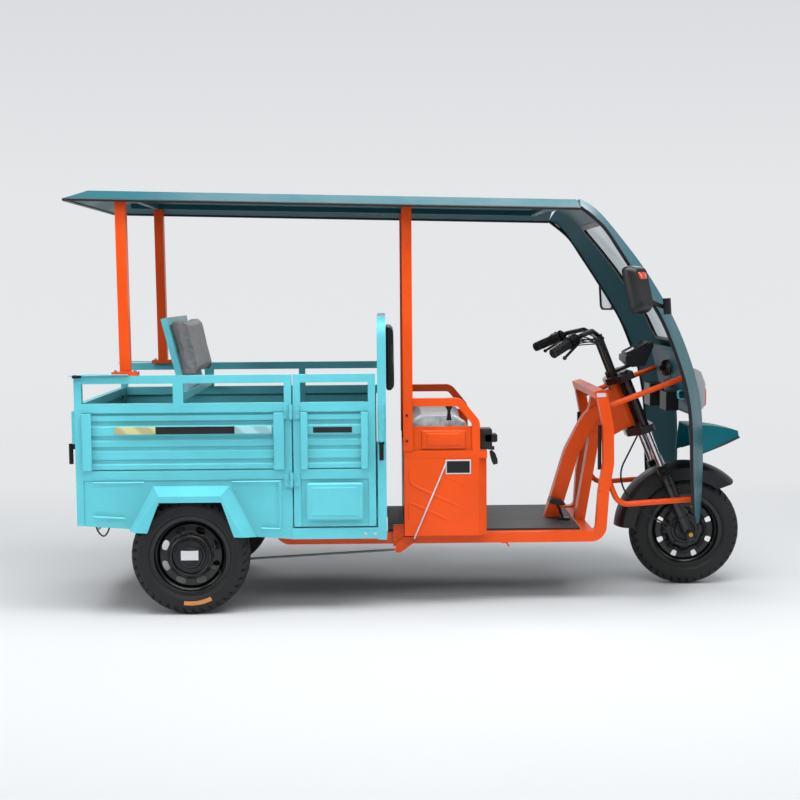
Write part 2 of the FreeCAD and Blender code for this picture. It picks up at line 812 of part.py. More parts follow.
# ---- front shield -------------------------------------------------------------
# Each row is one section of the shield: its side edge (x, z, half width) and its
# front corner (x, z, half width), from the roof down to the skirts.
shield_rows = [
    ((1606, 1660, 525), (1622, 1702, 385)),
    ((1700, 1582, 517), (1735, 1622, 352)),
    ((1767, 1486, 515), (1815, 1526, 348)),
    ((1833, 1385, 512), (1895, 1422, 343)),
    ((1905, 1270, 506), (1974, 1305, 325)),
    ((1965, 1160, 500), (2040, 1194, 300)),
    ((2032, 983, 495), (2120, 1011, 272)),
    ((2060, 865, 492), (2156, 885, 262)),
    ((2073, 750, 490), (2172, 760, 258)),
    ((2077, 600, 490), (2177, 604, 258)),
    ((2082, 470, 490), (2174, 470, 260)),
    ((2088, 330, 490), (2166, 330, 262)),
]


def shield_ring(row, outset, thickness):
    """The closed outline of one shield section, as a wall of the given thickness."""
    (edge_x, edge_z, edge_y), (corner_x, corner_z, corner_y) = row
    run = Vector(corner_x - edge_x, 0, corner_z - edge_z)
    depth = run.Length
    ahead = run.normalize()
    lean = math.atan2(edge_y - corner_y, depth)

    def place(forward, y):
        base = Vector(edge_x, 0, edge_z) + ahead * forward
        return Vector(base.x, y, base.z)

    def wall(inset):
        side = inset / math.cos(lean)
        corner_shift = inset * math.tan((math.pi / 2 - lean) / 2)
        return [(0, edge_y - side), (depth - inset, corner_y - corner_shift)]

    outside = wall(outset)
    inside = wall(outset + thickness)
    left = outside + inside[::-1]
    outline = [place(*left[0]), place(*left[1])]
    outline += [place(left[1][0], -left[1][1]), place(left[0][0], -left[0][1])]
    outline += [place(left[3][0], -left[3][1]), place(left[2][0], -left[2][1])]
    outline += [place(*left[2]), place(*left[3])]
    return Part.makePolygon(outline + [outline[0]])


def shield_shell(outset, thickness):
    rings = [shield_ring(row, outset, thickness) for row in shield_rows]
    return Part.makeLoft(rings, True, False)


def window_prism(shrink):
    """The windscreen's opening, cut straight along X."""
    low = window_low_z + shrink
    high = window_high_z - shrink
    half = window_half_width - shrink
    top_half = half + 6
    low_half = half - 62
    outline = [(-low_half, low), (low_half, low), (top_half, high), (-top_half, high)]
    prism = slab_x(outline, 1640, 2260)
    corner_edges = [e for e in prism.Edges if e.BoundBox.XLength > 500]
    return prism.makeFillet(40, corner_edges)


def front_shield():
    """The moulded shield: side bands, crown, nose panel and skirts."""
    shell = shield_shell(0, shield_skin)
    opening = box(2090, 2300, -skirt_half_gap, skirt_half_gap, 200, shield_hem_z)
    tip = slab_y([(2040, 300), (2040, 412), (2088, 404), (2136, 312), (2240, 438), (2240, 300)],
                 -600, 600)
    return shell.cut([opening, window_prism(0), tip])


def windscreen():
    """The clear screen, set in the shield's window."""
    middle = (shield_skin - glass_thickness) / 2
    layer = shield_shell(middle, glass_thickness)
    pane = layer.common(window_prism(glass_gap))
    return max(pane.Solids, key=lambda solid: solid.Volume)


def dash_fairing(shield):
    """The inner moulding under the screen that carries lamp, horn and wiring."""
    ledge = slab_y([(2052, 1076), (2140, 1030), (2134, 1020), (2050, 1060)], -290, 290)
    panel = slab_y([(2050, 1070), (2058, 1074), (2100, 900), (2130, 800), (2122, 796),
                    (2090, 900)], -255, 255)
    fairing = joined(ledge, panel)
    trimmed = coped(fairing, shield)
    return max(trimmed.Solids, key=lambda solid: solid.Volume)


def nose_beak(shield):
    """The pointed hood over the front wheel."""
    root = beak_ring(2150, 168, 726, 590, 0)
    middle = beak_ring(2300, 116, 714, 640, 0)
    tip = beak_ring(2391, 38, 690, 664, 0)
    hood = Part.makeLoft([root, middle, tip], True, False)
    hollow = Part.makeLoft([beak_ring(2140, 162, 720, 560, 0), beak_ring(2300, 110, 708, 610, 0),
                            beak_ring(2383, 34, 685, 640, 0)], True, False)
    shell = hood.cut(hollow)
    trimmed = coped(shell, shield)
    return max(trimmed.Solids, key=lambda solid: solid.Volume)


def beak_ring(x, half, top, low, skirt):
    """One cross-section of the beak: flat crown, sloping cheeks."""
    shoulder = half * 0.55
    points = [Vector(x, -half, low - skirt), Vector(x, half, low - skirt),
              Vector(x, shoulder, top), Vector(x, -shoulder, top)]
    return Part.makePolygon(points + [points[0]])


def headlamp(shield):
    """The lamp pod in the middle of the nose."""
    outline = [(2120, 968), (2180, 976), (2206, 962), (2229, 900), (2228, 812), (2212, 790),
               (2140, 790)]
    half = lamp_pod_half_width
    pod = slab_y(outline, -half, half)
    edges = [e for e in pod.Edges if e.BoundBox.YLength > half and e.BoundBox.XMin > 2170]
    pod = pod.makeFillet(12, edges)
    return max(coped(pod, shield).Solids, key=lambda solid: solid.Volume)


def horn_and_boxes(fairing):
    """The horn and the two electrical boxes behind the nose."""
    controller = box(2010, 2075, 60, 190, 800, 900)
    flasher = box(2030, 2084, -190, -60, 800, 880)
    return Part.Compound([coped(controller, fairing), coped(flasher, fairing)])


def mirror_shape(side, yaw_deg, lean_deg, x, y, z):
    """One door-style mirror: a tapered shell, open to the glass at the back."""
    shell = Part.makeLoft([mirror_ring(0, 54, 96), mirror_ring(30, 52, 94),
                           mirror_ring(56, 36, 74)], True, False)
    pocket = Part.makeLoft([mirror_ring(-1, 48, 89), mirror_ring(8, 48, 89)], True, True)
    shell = shell.cut(pocket)
    shell.rotate(Vector(0, 0, 0), Vector(0, 1, 0), -lean_deg)
    shell.rotate(Vector(0, 0, 0), Vector(0, 0, 1), yaw_deg)
    shell.translate(Vector(x, side * y, z))
    return shell


def mirror_ring(x, half_y, half_z):
    """A rounded rectangle in the YZ plane."""
    radius = min(half_y, half_z) * 0.45
    ring = []
    corners = [(half_y - radius, half_z - radius, 0), (-half_y + radius, half_z - radius, 90),
               (-half_y + radius, -half_z + radius, 180), (half_y - radius, -half_z + radius, 270)]
    for y, z, start in corners:
        arc = Part.makeCircle(radius, Vector(x, y, z), Vector(1, 0, 0), start, start + 90)
        ring.append(arc)
    edges = []
    for first, second in zip(ring, ring[1:] + ring[:1]):
        edges.append(first)
        start = first.Vertexes[1].Point
        end = second.Vertexes[0].Point
        edges.append(Part.LineSegment(start, end).toShape())
    return Part.Wire(edges)


def mirror_pair(shield):
    """Both mirrors with the brackets that hold them on the shield."""
    solids = []
    for side, yaw, lean, x in ((1, 24, 4, 1890), (-1, -48, 15, 1812)):
        shell = mirror_shape(side, yaw, lean, x, 578, 1322)
        stalk = rod(Vector(x + 40, side * 590, 1290), Vector(1946, side * 500, 1256), 9)
        foot = rod(Vector(1958, side * 520, 1290), Vector(1962, side * 520, 1225), 16)
        arm = joined(shell, stalk, foot)
        trimmed = coped(arm, shield)
        solids.append(max(trimmed.Solids, key=lambda solid: solid.Volume))
    return Part.Compound(solids)


# ---- rear running gear --------------------------------------------------------
def rear_axle():
    """The axle tube with its gear case and motor in the middle."""
    centre = Vector(0, 0, rear_axle_z)
    reach = rear_half_track - 62
    tube = rod(centre - Vector(0, reach, 0), centre + Vector(0, reach, 0), axle_tube_radius)
    case = Part.makeSphere(84, centre)
    motor = rod(centre + Vector(0, 60, 0), centre + Vector(0, 250, 0), 74)
    plates = []
    for side in (1, -1):
        plates.append(rod(Vector(0, side * reach, rear_axle_z),
                          Vector(0, side * (reach + 10), rear_axle_z), 92))
    stub = rod(Vector(0, -rear_half_track - 38, rear_axle_z),
               Vector(0, rear_half_track + 38, rear_axle_z), stub_radius)
    return joined(tube, case, motor, *plates, stub)


def leaf_spring(side, axle, frame):
    """A stack of curved leaves under one rail, with its clamp plate."""
    y = side * spring_half_spacing
    span = spring_half_length
    low = rear_axle_z + axle_tube_radius
    leaves = []
    for index, reach in enumerate((1.0, 0.78, 0.56, 0.34)):
        points = []
        for part in (-1.0, -0.5, 0.0, 0.5, 1.0):
            x = part * span * reach
            points.append(Vector(x, y, low + 30 - index * 7 + 62 * (x / span) ** 2))
        leaves.append(leaf(points))
    clamp = box(-38, 38, y - 30, y + 30, low - 2, low + 12)
    strap = box(-38, 38, y - 30, y + 30, low + 34, low + 42)
    eyes = []
    for end in (-1, 1):
        eyes.append(rod(Vector(end * span, y - 26, low + 92), Vector(end * span, y + 26, low + 92),
                        16))
        eyes.append(box(end * span - 9, end * span + 9, y - 24, y + 24, low + 92,
                        rail_kick_z - rail_tube / 2))
    return coped(joined(*leaves, clamp, strap, *eyes), axle, frame)


def leaf(points):
    """One spring leaf, 7 mm thick, along a shallow curve."""
    curve = Part.BSplineCurve()
    curve.interpolate(points)
    lower = curve.toShape()
    upper = lower.copy()
    upper.translate(Vector(0, 0, 7))
    face = Part.makeRuledSurface(lower, upper)
    bar = face.extrude(Vector(0, spring_width, 0))
    bar.translate(Vector(0, -spring_width / 2, 0))
    return bar


def leaf_springs(axle, frame):
    return Part.Compound([leaf_spring(1, axle, frame), leaf_spring(-1, axle, frame)])


# ---- wheels -------------------------------------------------------------------
def tyre(centre):
    """A round-shouldered tyre, filled down to the rim's flanges."""
    half = tyre_width / 2
    bead = rim_width / 2
    inner = rim_radius - 10
    crown = [(tyre_radius, 14), (tyre_radius - 6, 28), (tyre_radius - 20, half - 7),
             (tyre_radius - 38, half), (rim_radius + 16, half - 3), (rim_radius + 2, bead - 3),
             (inner, bead - 4)]
    profile = crown + [(r, -y) for r, y in crown[::-1]]
    return turned(profile, centre)


def rim(centre, side, holes, hole_circle, disc_ahead, pin_radius):
    """A pressed steel wheel: rolled flanges, drop centre, dished disc and hub."""
    half = rim_width / 2
    band = [(rim_radius, half + 2), (rim_radius, half - 3), (rim_radius - 11, half - 5),
            (rim_radius - 14, 18), (rim_well_radius, 12), (rim_well_radius, -12),
            (rim_radius - 14, -18), (rim_radius - 11, -half + 5), (rim_radius, -half + 3),
            (rim_radius, -half - 2), (rim_radius - 17, -half), (rim_radius - 19, -20),
            (rim_well_radius - 5, -14), (rim_well_radius - 5, 14), (rim_radius - 19, 20),
            (rim_radius - 17, half)]
    barrel = turned(band, centre)
    dish = [(rim_well_radius - 2, disc_ahead), (118, disc_ahead + 10), (96, disc_ahead + 4),
            (78, disc_ahead + 16), (34, disc_ahead + 16), (34, disc_ahead + 11),
            (76, disc_ahead + 11), (95, disc_ahead - 1), (118, disc_ahead + 5),
            (rim_well_radius - 2, disc_ahead - 5)]
    disc = turned([(r, side * y) for r, y in dish], centre)
    hub = rod(centre + Vector(0, -34, 0), centre + Vector(0, 34, 0), 44)
    drum = rod(centre + Vector(0, -side * 34, 0), centre + Vector(0, side * 10, 0), 70)
    wheel = joined(barrel, disc, hub, drum)
    cutters = []
    for index in range(holes):
        angle = 2 * math.pi * (index + 0.5) / holes
        middle = centre + Vector(hole_circle * math.cos(angle), 0, hole_circle * math.sin(angle))
        cutters.append(rod(middle - Vector(0, 60, 0), middle + Vector(0, 60, 0), 13))
    bore = rod(centre + Vector(0, -60, 0), centre + Vector(0, 60, 0),
               pin_radius + bearing_gap)
    return wheel.cut(cutters + [bore])


# ---- steering -----------------------------------------------------------------
def fork():
    """Steerer, two yokes, two telescopic legs and the wheel's axle."""
    steerer = rod(steer_point(-60, 0, 0), steer_point(head_tube_length + 34, 0, 0),
                  steerer_radius)
    parts = [steerer]
    parts.append(yoke(-6 - yoke_thickness))
    parts.append(yoke(head_tube_length + 6))
    for side in (1, -1):
        y = side * fork_half_spacing
        upper = rod(steer_point(-48, fork_offset, y), steer_point(480, fork_offset, y),
                    stanchion_radius)
        lower = rod(steer_point(455, fork_offset, y),
                    steer_point(axle_down + 34, fork_offset, y), slider_radius)
        parts += [upper, lower]
    axle = rod(front_axle - Vector(0, fork_half_spacing + 34, 0),
               front_axle + Vector(0, fork_half_spacing + 34, 0), axle_radius)
    for side in (1, -1):
        parts.append(rod(front_axle + Vector(0, side * 40, 0),
                         front_axle + Vector(0, side * fork_half_spacing, 0), 14))
    return joined(*parts, axle)


def yoke(down):
    """A forged plate across the steerer and both legs."""
    half_width = fork_half_spacing + 34
    outline = [(-32, -38), (-32, 38), (fork_offset - 30, half_width), (fork_offset + 26, half_width),
               (fork_offset + 34, half_width - 12), (fork_offset + 34, -half_width + 12),
               (fork_offset + 26, -half_width), (fork_offset - 30, -half_width)]
    points = [steer_point(down, ahead, y) for ahead, y in outline]
    return polygon_face(points).extrude(steer_down * yoke_thickness)


def handlebar():
    """Clamps on the top yoke and the swept-back bar."""
    z_yoke = -6 - yoke_thickness
    left = [Vector(1790, 0, 1118), Vector(1752, 62, 1124), Vector(1716, 120, 1146),
            Vector(1655, 205, 1128), Vector(1598, 252, 1098), Vector(1524, 322, 1060)]
    right = [Vector(p.x, -p.y, p.z) for p in left[::-1]]
    bar = pipe(right[:-1] + left[1:], 11, 26)
    risers = []
    for side in (1, -1):
        risers.append(rod(steer_point(z_yoke, 12, side * 48), Vector(1757, side * 55, 1128), 14))
    return joined(bar, *risers)


def grip_and_controls(side):
    """One grip, its switch housing and its brake lever."""
    inner = Vector(1598, side * 252, 1098)
    outer = Vector(1524, side * 322, 1060)
    along = (outer - inner).normalize()
    grip = rod(inner + along * 8, outer + along * 6, grip_radius)
    housing = rod(inner - along * 48, inner + along * 2, 26)
    lever_start = inner - along * 24 + Vector(26, 0, -10)
    lever_end = outer + Vector(44, side * 14, -20)
    lever = rod(lever_start, lever_end, 6)
    knob = Part.makeSphere(9, lever_end)
    bar_hole = rod(inner - along * 80, outer + along * 40, 11)
    return joined(grip, housing, lever, knob), bar_hole


def controls(bar):
    solids = []
    for side in (1, -1):
        shape, hole = grip_and_controls(side)
        trimmed = coped(shape, bar)
        solids.append(max(trimmed.Solids, key=lambda solid: solid.Volume))
    return Part.Compound(solids)


def instrument_pod(bar, legs):
    """The gauge housing on its bracket ahead of the bars."""
    outline = [(1872, 1034), (1990, 1096), (1996, 1078), (1958, 990), (1900, 984), (1872, 1010)]
    pod = slab_y(outline, -86, 86)
    bracket = slab_y([(1800, 958), (1930, 1000), (1930, 992), (1806, 944)], -30, 30)
    whole = joined(pod, bracket)
    trimmed = coped(whole, bar, legs)
    return max(trimmed.Solids, key=lambda solid: solid.Volume)


def front_fender(legs):
    """The arched mudguard over the front wheel, carried by the fork's legs."""
    inner_radius = tyre_radius + fender_clearance
    crown = inner_radius + 34
    hem = inner_radius - fender_skirt
    half = fender_half_width
    profile = [(hem, half), (inner_radius + 10, half), (crown - 8, 52), (crown, 30),
               (crown + 4, 0), (crown, -30), (crown - 8, -52), (inner_radius + 10, -half),
               (hem, -half), (hem, -half + 4), (inner_radius + 7, -half + 5), (crown - 12, -49),
               (crown - 4, -29), (crown, 0), (crown - 4, 29), (crown - 12, 49),
               (inner_radius + 7, half - 5), (hem, half - 4)]
    points = [front_axle + Vector(radius, y, 0) for radius, y in profile]
    start = polygon_face(points)
    start.rotate(front_axle, Vector(0, 1, 0), -fender_start_deg)
    guard = start.revolve(front_axle, Vector(0, 1, 0), -fender_sweep_deg)
    tip_x = front_axle.x + crown * math.cos(math.radians(fender_start_deg))
    tip_z = front_axle.z + crown * math.sin(math.radians(fender_start_deg))
    below_tip = slab_y([(tip_x + 40, tip_z - 4), (tip_x - 4, tip_z - 8), (tip_x - 76, tip_z - 34),
                        (tip_x - 150, tip_z - 50), (tip_x - 150, tip_z - 160),
                        (tip_x + 40, tip_z - 160)], -half - 10, half + 10)
    guard = max(guard.cut(below_tip).Solids, key=lambda solid: solid.Volume)
    stays = []
    for side in (1, -1):
        y = side * (fender_half_width - 1)
        leg = steer_point(axle_down - inner_radius - 2, fork_offset, side * fork_half_spacing)
        stays.append(rod(leg, Vector(leg.x + 10, y, leg.z + 6), 9))
    whole = joined(guard, *stays)
    return coped(whole, legs)


# ---- brakes and small fittings ------------------------------------------------
def brake_pedal():
    """The foot brake: pad, stem and pivot block on the floor."""
    top = rail_z + rail_tube / 2 + mat_thickness
    y = -104
    pad = slab_y([(1528, 394), (1538, 410), (1590, 398), (1602, 384), (1592, 378), (1540, 386)],
                 y - 34, y + 34)
    stem = rod(Vector(1566, y, 392), Vector(1594, y, top + 6), 6)
    base = box(1574, 1622, y - 22, y + 22, top, top + 10)
    return joined(pad, stem, base)


def parking_brake(frame):
    """The bell crank, its bracket on the right rail, and the rod to the axle."""
    y = -rail_half_spacing - rail_tube / 2 - 12
    bracket = box(838, 884, y - 4, -rail_half_spacing - rail_tube / 2, rail_z - 30, rail_z + 60)
    crank = slab_y([(848, 224), (870, 224), (930, 268), (930, 290), (880, 290), (848, 262)],
                   y - 12, y - 4)
    pull_rod = rod(Vector(856, y - 8, 236), Vector(112, y - 8, 196), 5)
    return coped(joined(bracket, crank, pull_rod), frame)


def brake_cable():
    """The parking brake's cable, taut from the seat box to the bell crank."""
    y = -seat_half_width - 5
    return rod(Vector(1062, y, 612), Vector(926, y, 292), 3)


def front_brake_cable(legs):
    """The front brake's cable, looped from the lower yoke to the hub."""
    y = -70
    points = [Vector(1935, y, 690), Vector(1888, y - 30, 610), Vector(1838, y - 52, 520),
              Vector(1866, y - 62, 420), Vector(1960, y - 64, 330), Vector(2090, y - 20, 268)]
    whole = coped(pipe(points, 4, 60), legs)
    return max(whole.Solids, key=lambda solid: solid.Volume)


def tail_lamps():
    """Two rear lamps let into the tail panel."""
    return Part.Compound([lamp_block(side, 0) for side in (1, -1)])


def plate_blank():
    """A blank number plate hung from the tail panel by its top edge."""
    plate = box(bed_tail - 3, bed_tail, -110, 110, hem_tail_z - 90, hem_tail_z + 14)
    holes = []
    for y in (-plate_hole_spacing / 2, plate_hole_spacing / 2):
        holes.append(rod(Vector(bed_tail - 5, y, plate_hole_z),
                         Vector(bed_tail + 5, y, plate_hole_z), plate_hole_radius))
    return plate.cut(holes)


# ---- assembly -----------------------------------------------------------------
def all_parts():
    """Every node's shape, by name, in rear-axle coordinates."""
    parts = {}
    frame = main_frame()
    shield = front_shield()
    roof = roof_panel()
    axle = rear_axle()
    legs = fork()
    bar = handlebar()
    parts["main_frame"] = frame
    parts["foot_floor"] = foot_floor(frame)
    parts["floor_mat"] = floor_mat(frame)
    parts["shield_struts"] = shield_struts(frame, shield)
    parts["seat_box"] = seat_box()
    parts["battery_pack"] = battery_pack()
    parts["arm_frame_right"] = arm_frame(-1)
    parts["arm_frame_left"] = arm_frame(1)
    parts["driver_cushion"] = driver_cushion()
    parts["driver_back_pad"] = driver_back_pad()
    parts["bed_floor"] = bed_floor(frame)
    parts["bed_front"] = joined(front_bulkhead(), back_board())
    parts["bed_side_left"] = side_left()
    door_leaves, door_pins = door_knuckles()
    gate_leaves, gate_pins = tailgate_knuckles()
    parts["side_door"] = joined(side_door(), *door_leaves)
    parts["bed_side_right"] = joined(side_right(), *door_pins)
    parts["tail_panel"] = joined(tail_panel(), *gate_pins)
    parts["tailgate"] = joined(tailgate(), *gate_leaves)
    parts["latches"] = latches()
    parts["wheel_arch_right"] = wheel_arch()
    parts["wheel_arch_left"] = mirrored(wheel_arch())
    parts["passenger_seat_stand"] = passenger_seat_stand()
    parts["passenger_back_frame"] = passenger_back_frame()
    parts["passenger_cushion"] = passenger_cushion()
    parts["passenger_back_pad"] = passenger_back_pad()
    parts["roof_panel"] = roof
    roof_bars = roof_frame()
    parts["roof_frame"] = roof_bars
    parts["roof_pillars"] = pillars(roof, roof_bars)
    parts["front_shield"] = shield
    parts["windscreen"] = windscreen()
    fairing = dash_fairing(shield)
    parts["dash_fairing"] = fairing
    parts["nose_beak"] = nose_beak(shield)
    parts["headlamp"] = headlamp(shield)
    parts["nose_boxes"] = horn_and_boxes(fairing)
    parts["mirrors"] = mirror_pair(shield)
    parts["rear_axle"] = axle
    parts["leaf_springs"] = leaf_springs(axle, frame)
    parts["fork"] = legs
    parts["handlebar"] = coped(bar, legs)
    parts["bar_controls"] = controls(bar)
    parts["instrument_pod"] = instrument_pod(bar, legs)
    parts["front_fender"] = front_fender(legs)
    parts["front_rim"] = rim(front_axle, -1, 8, 117, 8, axle_radius)
    parts["front_tyre"] = coped(tyre(front_axle), parts["front_rim"])
    for name, side in (("right", -1), ("left", 1)):
        centre = Vector(0, side * rear_half_track, rear_axle_z)
        wheel = rim(centre, side, 8, 112, 2, stub_radius)
        parts["rear_rim_" + name] = wheel
        parts["rear_tyre_" + name] = coped(tyre(centre), wheel)
    parts["brake_pedal"] = brake_pedal()
    parts["parking_brake"] = parking_brake(frame)
    parts["parking_brake_cable"] = brake_cable()
    parts["front_brake_cable"] = front_brake_cable(legs)
    parts["tail_lamps"] = tail_lamps()
    parts["plate_blank"] = plate_blank()
    return parts


def export_all():
    """Write each node as STEP, moved so that X = 0 is mid-length."""
    os.makedirs("parts", exist_ok=True)
    parts = all_parts()
    low = min(shape.BoundBox.XMin for shape in parts.values())
    high = max(shape.BoundBox.XMax for shape in parts.values())
    middle = (low + high) / 2
    print("middle of length at x =", round(middle, 3))
    for name, shape in parts.items():
        moved = shape.copy()
        moved.translate(Vector(-middle, 0, 0))
        moved.exportStep("parts/" + name + ".step")
        print(name, len(moved.Solids), moved.isValid(), round(moved.Volume / 1e3, 1))


export_all()
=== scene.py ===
import json
import math
import bmesh
import bpy
import numpy as np
from mathutils import Matrix, Vector


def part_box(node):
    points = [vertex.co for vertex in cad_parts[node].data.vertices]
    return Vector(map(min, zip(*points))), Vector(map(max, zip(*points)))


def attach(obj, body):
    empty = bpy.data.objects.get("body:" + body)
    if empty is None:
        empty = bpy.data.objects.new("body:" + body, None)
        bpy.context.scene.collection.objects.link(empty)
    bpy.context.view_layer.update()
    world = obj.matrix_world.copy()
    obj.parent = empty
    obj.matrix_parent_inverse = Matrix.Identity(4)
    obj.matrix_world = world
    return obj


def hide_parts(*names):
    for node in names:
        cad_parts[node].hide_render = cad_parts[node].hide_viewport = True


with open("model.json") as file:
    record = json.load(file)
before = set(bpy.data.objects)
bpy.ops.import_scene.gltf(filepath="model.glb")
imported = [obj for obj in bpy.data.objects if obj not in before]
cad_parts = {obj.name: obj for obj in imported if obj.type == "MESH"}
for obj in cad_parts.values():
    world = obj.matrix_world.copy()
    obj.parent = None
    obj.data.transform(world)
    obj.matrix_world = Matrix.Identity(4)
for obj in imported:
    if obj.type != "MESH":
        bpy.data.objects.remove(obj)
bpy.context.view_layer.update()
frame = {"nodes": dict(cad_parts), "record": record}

nodes = frame["nodes"]
tau = 2 * math.pi

# every place below is in metres from the rear axle's upright plane, as the part is drawn;
# `ahead` is how far that plane lies from the model's own origin
wheelLow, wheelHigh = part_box("rear_tyre_right")
ahead = (wheelLow.x + wheelHigh.x) / 2
tyreRadius = (wheelHigh.z - wheelLow.z) / 2
trackHalf = -(wheelLow.y + wheelHigh.y) / 2
frontLow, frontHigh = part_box("front_tyre")
frontX = (frontLow.x + frontHigh.x) / 2 - ahead
bedHalf = -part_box("bed_side_right")[0].y
print("frame read: rear axle at", round(ahead, 4), "front axle", round(frontX, 4))


def place(x, y, z):
    # arrays or numbers in rear-axle metres, stacked into points of the model
    x, y, z = np.broadcast_arrays(x, y, z)
    return np.stack([x + ahead, y, z], -1).astype(float)


def gridFaces(rows, cols, wrapRows, wrapCols):
    # quads between neighbouring points of a rows by cols grid, the last joined to the first where it wraps
    r = np.arange(rows if wrapRows else rows - 1)[:, None]
    c = np.arange(cols if wrapCols else cols - 1)[None, :]
    r2, c2 = (r + 1) % rows, (c + 1) % cols
    quads = np.stack([r * cols + c, r2 * cols + c, r2 * cols + c2, r * cols + c2], -1)
    return quads.reshape(-1, 4)


def gridShape(grid, wrapRows=False, wrapCols=False):
    # the points and quads of a rows by cols array of places
    return grid.reshape(-1, 3), gridFaces(*grid.shape[:2], wrapRows, wrapCols)


def flipped(shape):
    # the same shape on the other side of the middle plane
    return shape[0] * (1, -1, 1), shape[1]


def smoothLine(points, count):
    # a Catmull-Rom curve through the points, read at count even steps of their index
    p = np.asarray(points, float)
    n = len(p)
    t = np.linspace(0, n - 1, count)
    i = np.minimum(t.astype(int), n - 2)
    f = (t - i)[:, None]
    a, b, c, d = (p[np.clip(i + k, 0, n - 1)] for k in (-1, 0, 1, 2))
    return 0.5 * (2 * b + (c - a) * f + (2 * a - 5 * b + 4 * c - d) * f ** 2
                  + (3 * b - a - 3 * c + d) * f ** 3)


def roundCorners(points, radius, steps=6, closed=False):
    # each corner becomes a quadratic curve that starts and ends one radius from it
    p = np.asarray(points, float)
    before, after = np.roll(p, 1, 0), np.roll(p, -1, 0)
    lenIn = np.linalg.norm(before - p, axis=1, keepdims=True)
    lenOut = np.linalg.norm(after - p, axis=1, keepdims=True)
    a = p + (before - p) / lenIn * np.minimum(radius, lenIn * 0.45)
    b = p + (after - p) / lenOut * np.minimum(radius, lenOut * 0.45)
    t = np.linspace(0, 1, steps)[None, :, None]
    bent = (1 - t) ** 2 * a[:, None] + 2 * t * (1 - t) * p[:, None] + t ** 2 * b[:, None]
    if closed:
        return bent.reshape(-1, p.shape[1])
    return np.vstack([p[:1], bent[1:-1].reshape(-1, p.shape[1]), p[-1:]])


def roundSection(width, height, radius, steps=4):
    # a rounded rectangle as (across, up) points
    w, h = width / 2, height / 2
    return roundCorners([(-w, -h), (w, -h), (w, h), (-w, h)], radius, steps, True)


def circleSection(radius, steps=14):
    a = np.arange(steps) * tau / steps
    return np.stack([np.cos(a), np.sin(a)], -1) * radius


def sweep(path, section, side=(0, 1, 0), scale=None):
    # the section carried along the path: across lies along `side`, up is square to it and to the path
    p = np.asarray(path, float)
    run = np.gradient(p, axis=0)
    run /= np.linalg.norm(run, axis=1, keepdims=True)
    across = np.broadcast_to(np.asarray(side, float), p.shape)
    across = across - run * (across * run).sum(1, keepdims=True)
    across = across / np.linalg.norm(across, axis=1, keepdims=True)
    up = np.cross(run, across)
    size = np.ones(len(p)) if scale is None else np.asarray(scale, float)
    s = np.asarray(section, float)
    grid = (p[:, None] + across[:, None] * s[None, :, :1] * size[:, None, None]
            + up[:, None] * s[None, :, 1:2] * size[:, None, None])
    first, last = p[:1, None].repeat(len(s), 1), p[-1:, None].repeat(len(s), 1)
    return gridShape(np.vstack([first, grid, last]), False, True)


def revolve(profile, centre, steps=96, closed=False):
    # (radius, y) points turned about the Y axis through the centre
    q = np.asarray(profile, float)
    a = np.arange(steps) * tau / steps
    grid = np.stack([np.cos(a)[:, None] * q[None, :, 0], np.broadcast_to(q[None, :, 1], (steps, len(q))),
                     np.sin(a)[:, None] * q[None, :, 0]], -1) + np.asarray(centre, float)
    return gridShape(grid, True, closed)


def together(shapes):
    verts, faces, start = [], [], 0
    for points, quads in shapes:
        verts.append(points)
        faces.append(quads + start)
        start += len(points)
    return np.vstack(verts), np.vstack(faces)


def boltShape(centre, axis, size, height):
    # a six-sided head with a chamfered top, built along `axis` (0, 1 or 2) with the sign of height
    ring = np.array([[1.0, 0.0], [1.0, 0.72], [0.86, 1.0], [0.0, 1.0]])
    a = np.arange(6) * tau / 6
    r = ring[None, :, 0] * size / 2
    out = [np.cos(a)[:, None] * r, np.sin(a)[:, None] * r,
           np.broadcast_to(ring[None, :, 1] * height, (6, 4))]
    order = {0: (2, 0, 1), 1: (0, 2, 1), 2: (0, 1, 2)}[axis]
    grid = np.stack([out[k] for k in order], -1) + np.asarray(centre, float)
    return gridShape(grid, True, False)


def pressing(x0, x1, z0, z1, faceY, rise, edge, corner, out=-1.0, slope=0.0):
    # a flat-topped bead: height climbs smoothly over `edge` from a rounded rectangle's border;
    # out is the way it stands, slope tips it in z for each metre of x
    e = min(edge, (x1 - x0) * 0.49, (z1 - z0) * 0.49)
    part = np.array([0, 0.25, 0.5, 0.75, 1.0])
    u = np.concatenate([x0 + part * e, x1 - part[::-1] * e])
    if x1 - x0 > 3 * corner:
        u = np.unique(np.concatenate([u, x0 + corner * part, x1 - corner * part]))
    v = np.concatenate([z0 + part * e, z1 - part[::-1] * e])
    if z1 - z0 > 3 * corner:
        v = np.unique(np.concatenate([v, z0 + corner * part, z1 - corner * part]))
    x, z = np.meshgrid(u, v, indexing="ij")
    cx, cz = (x0 + x1) / 2, (z0 + z1) / 2
    dx = np.abs(x - cx) - ((x1 - x0) / 2 - corner)
    dz = np.abs(z - cz) - ((z1 - z0) / 2 - corner)
    outside = np.hypot(np.maximum(dx, 0), np.maximum(dz, 0)) + np.minimum(np.maximum(dx, dz), 0)
    inward = np.clip((corner - outside) / e, 0, 1)
    height = rise * inward ** 2 * (3 - 2 * inward)
    grid = place(x, faceY + out * (height - 0.0006), z + slope * (x - cx))
    return gridShape(grid)


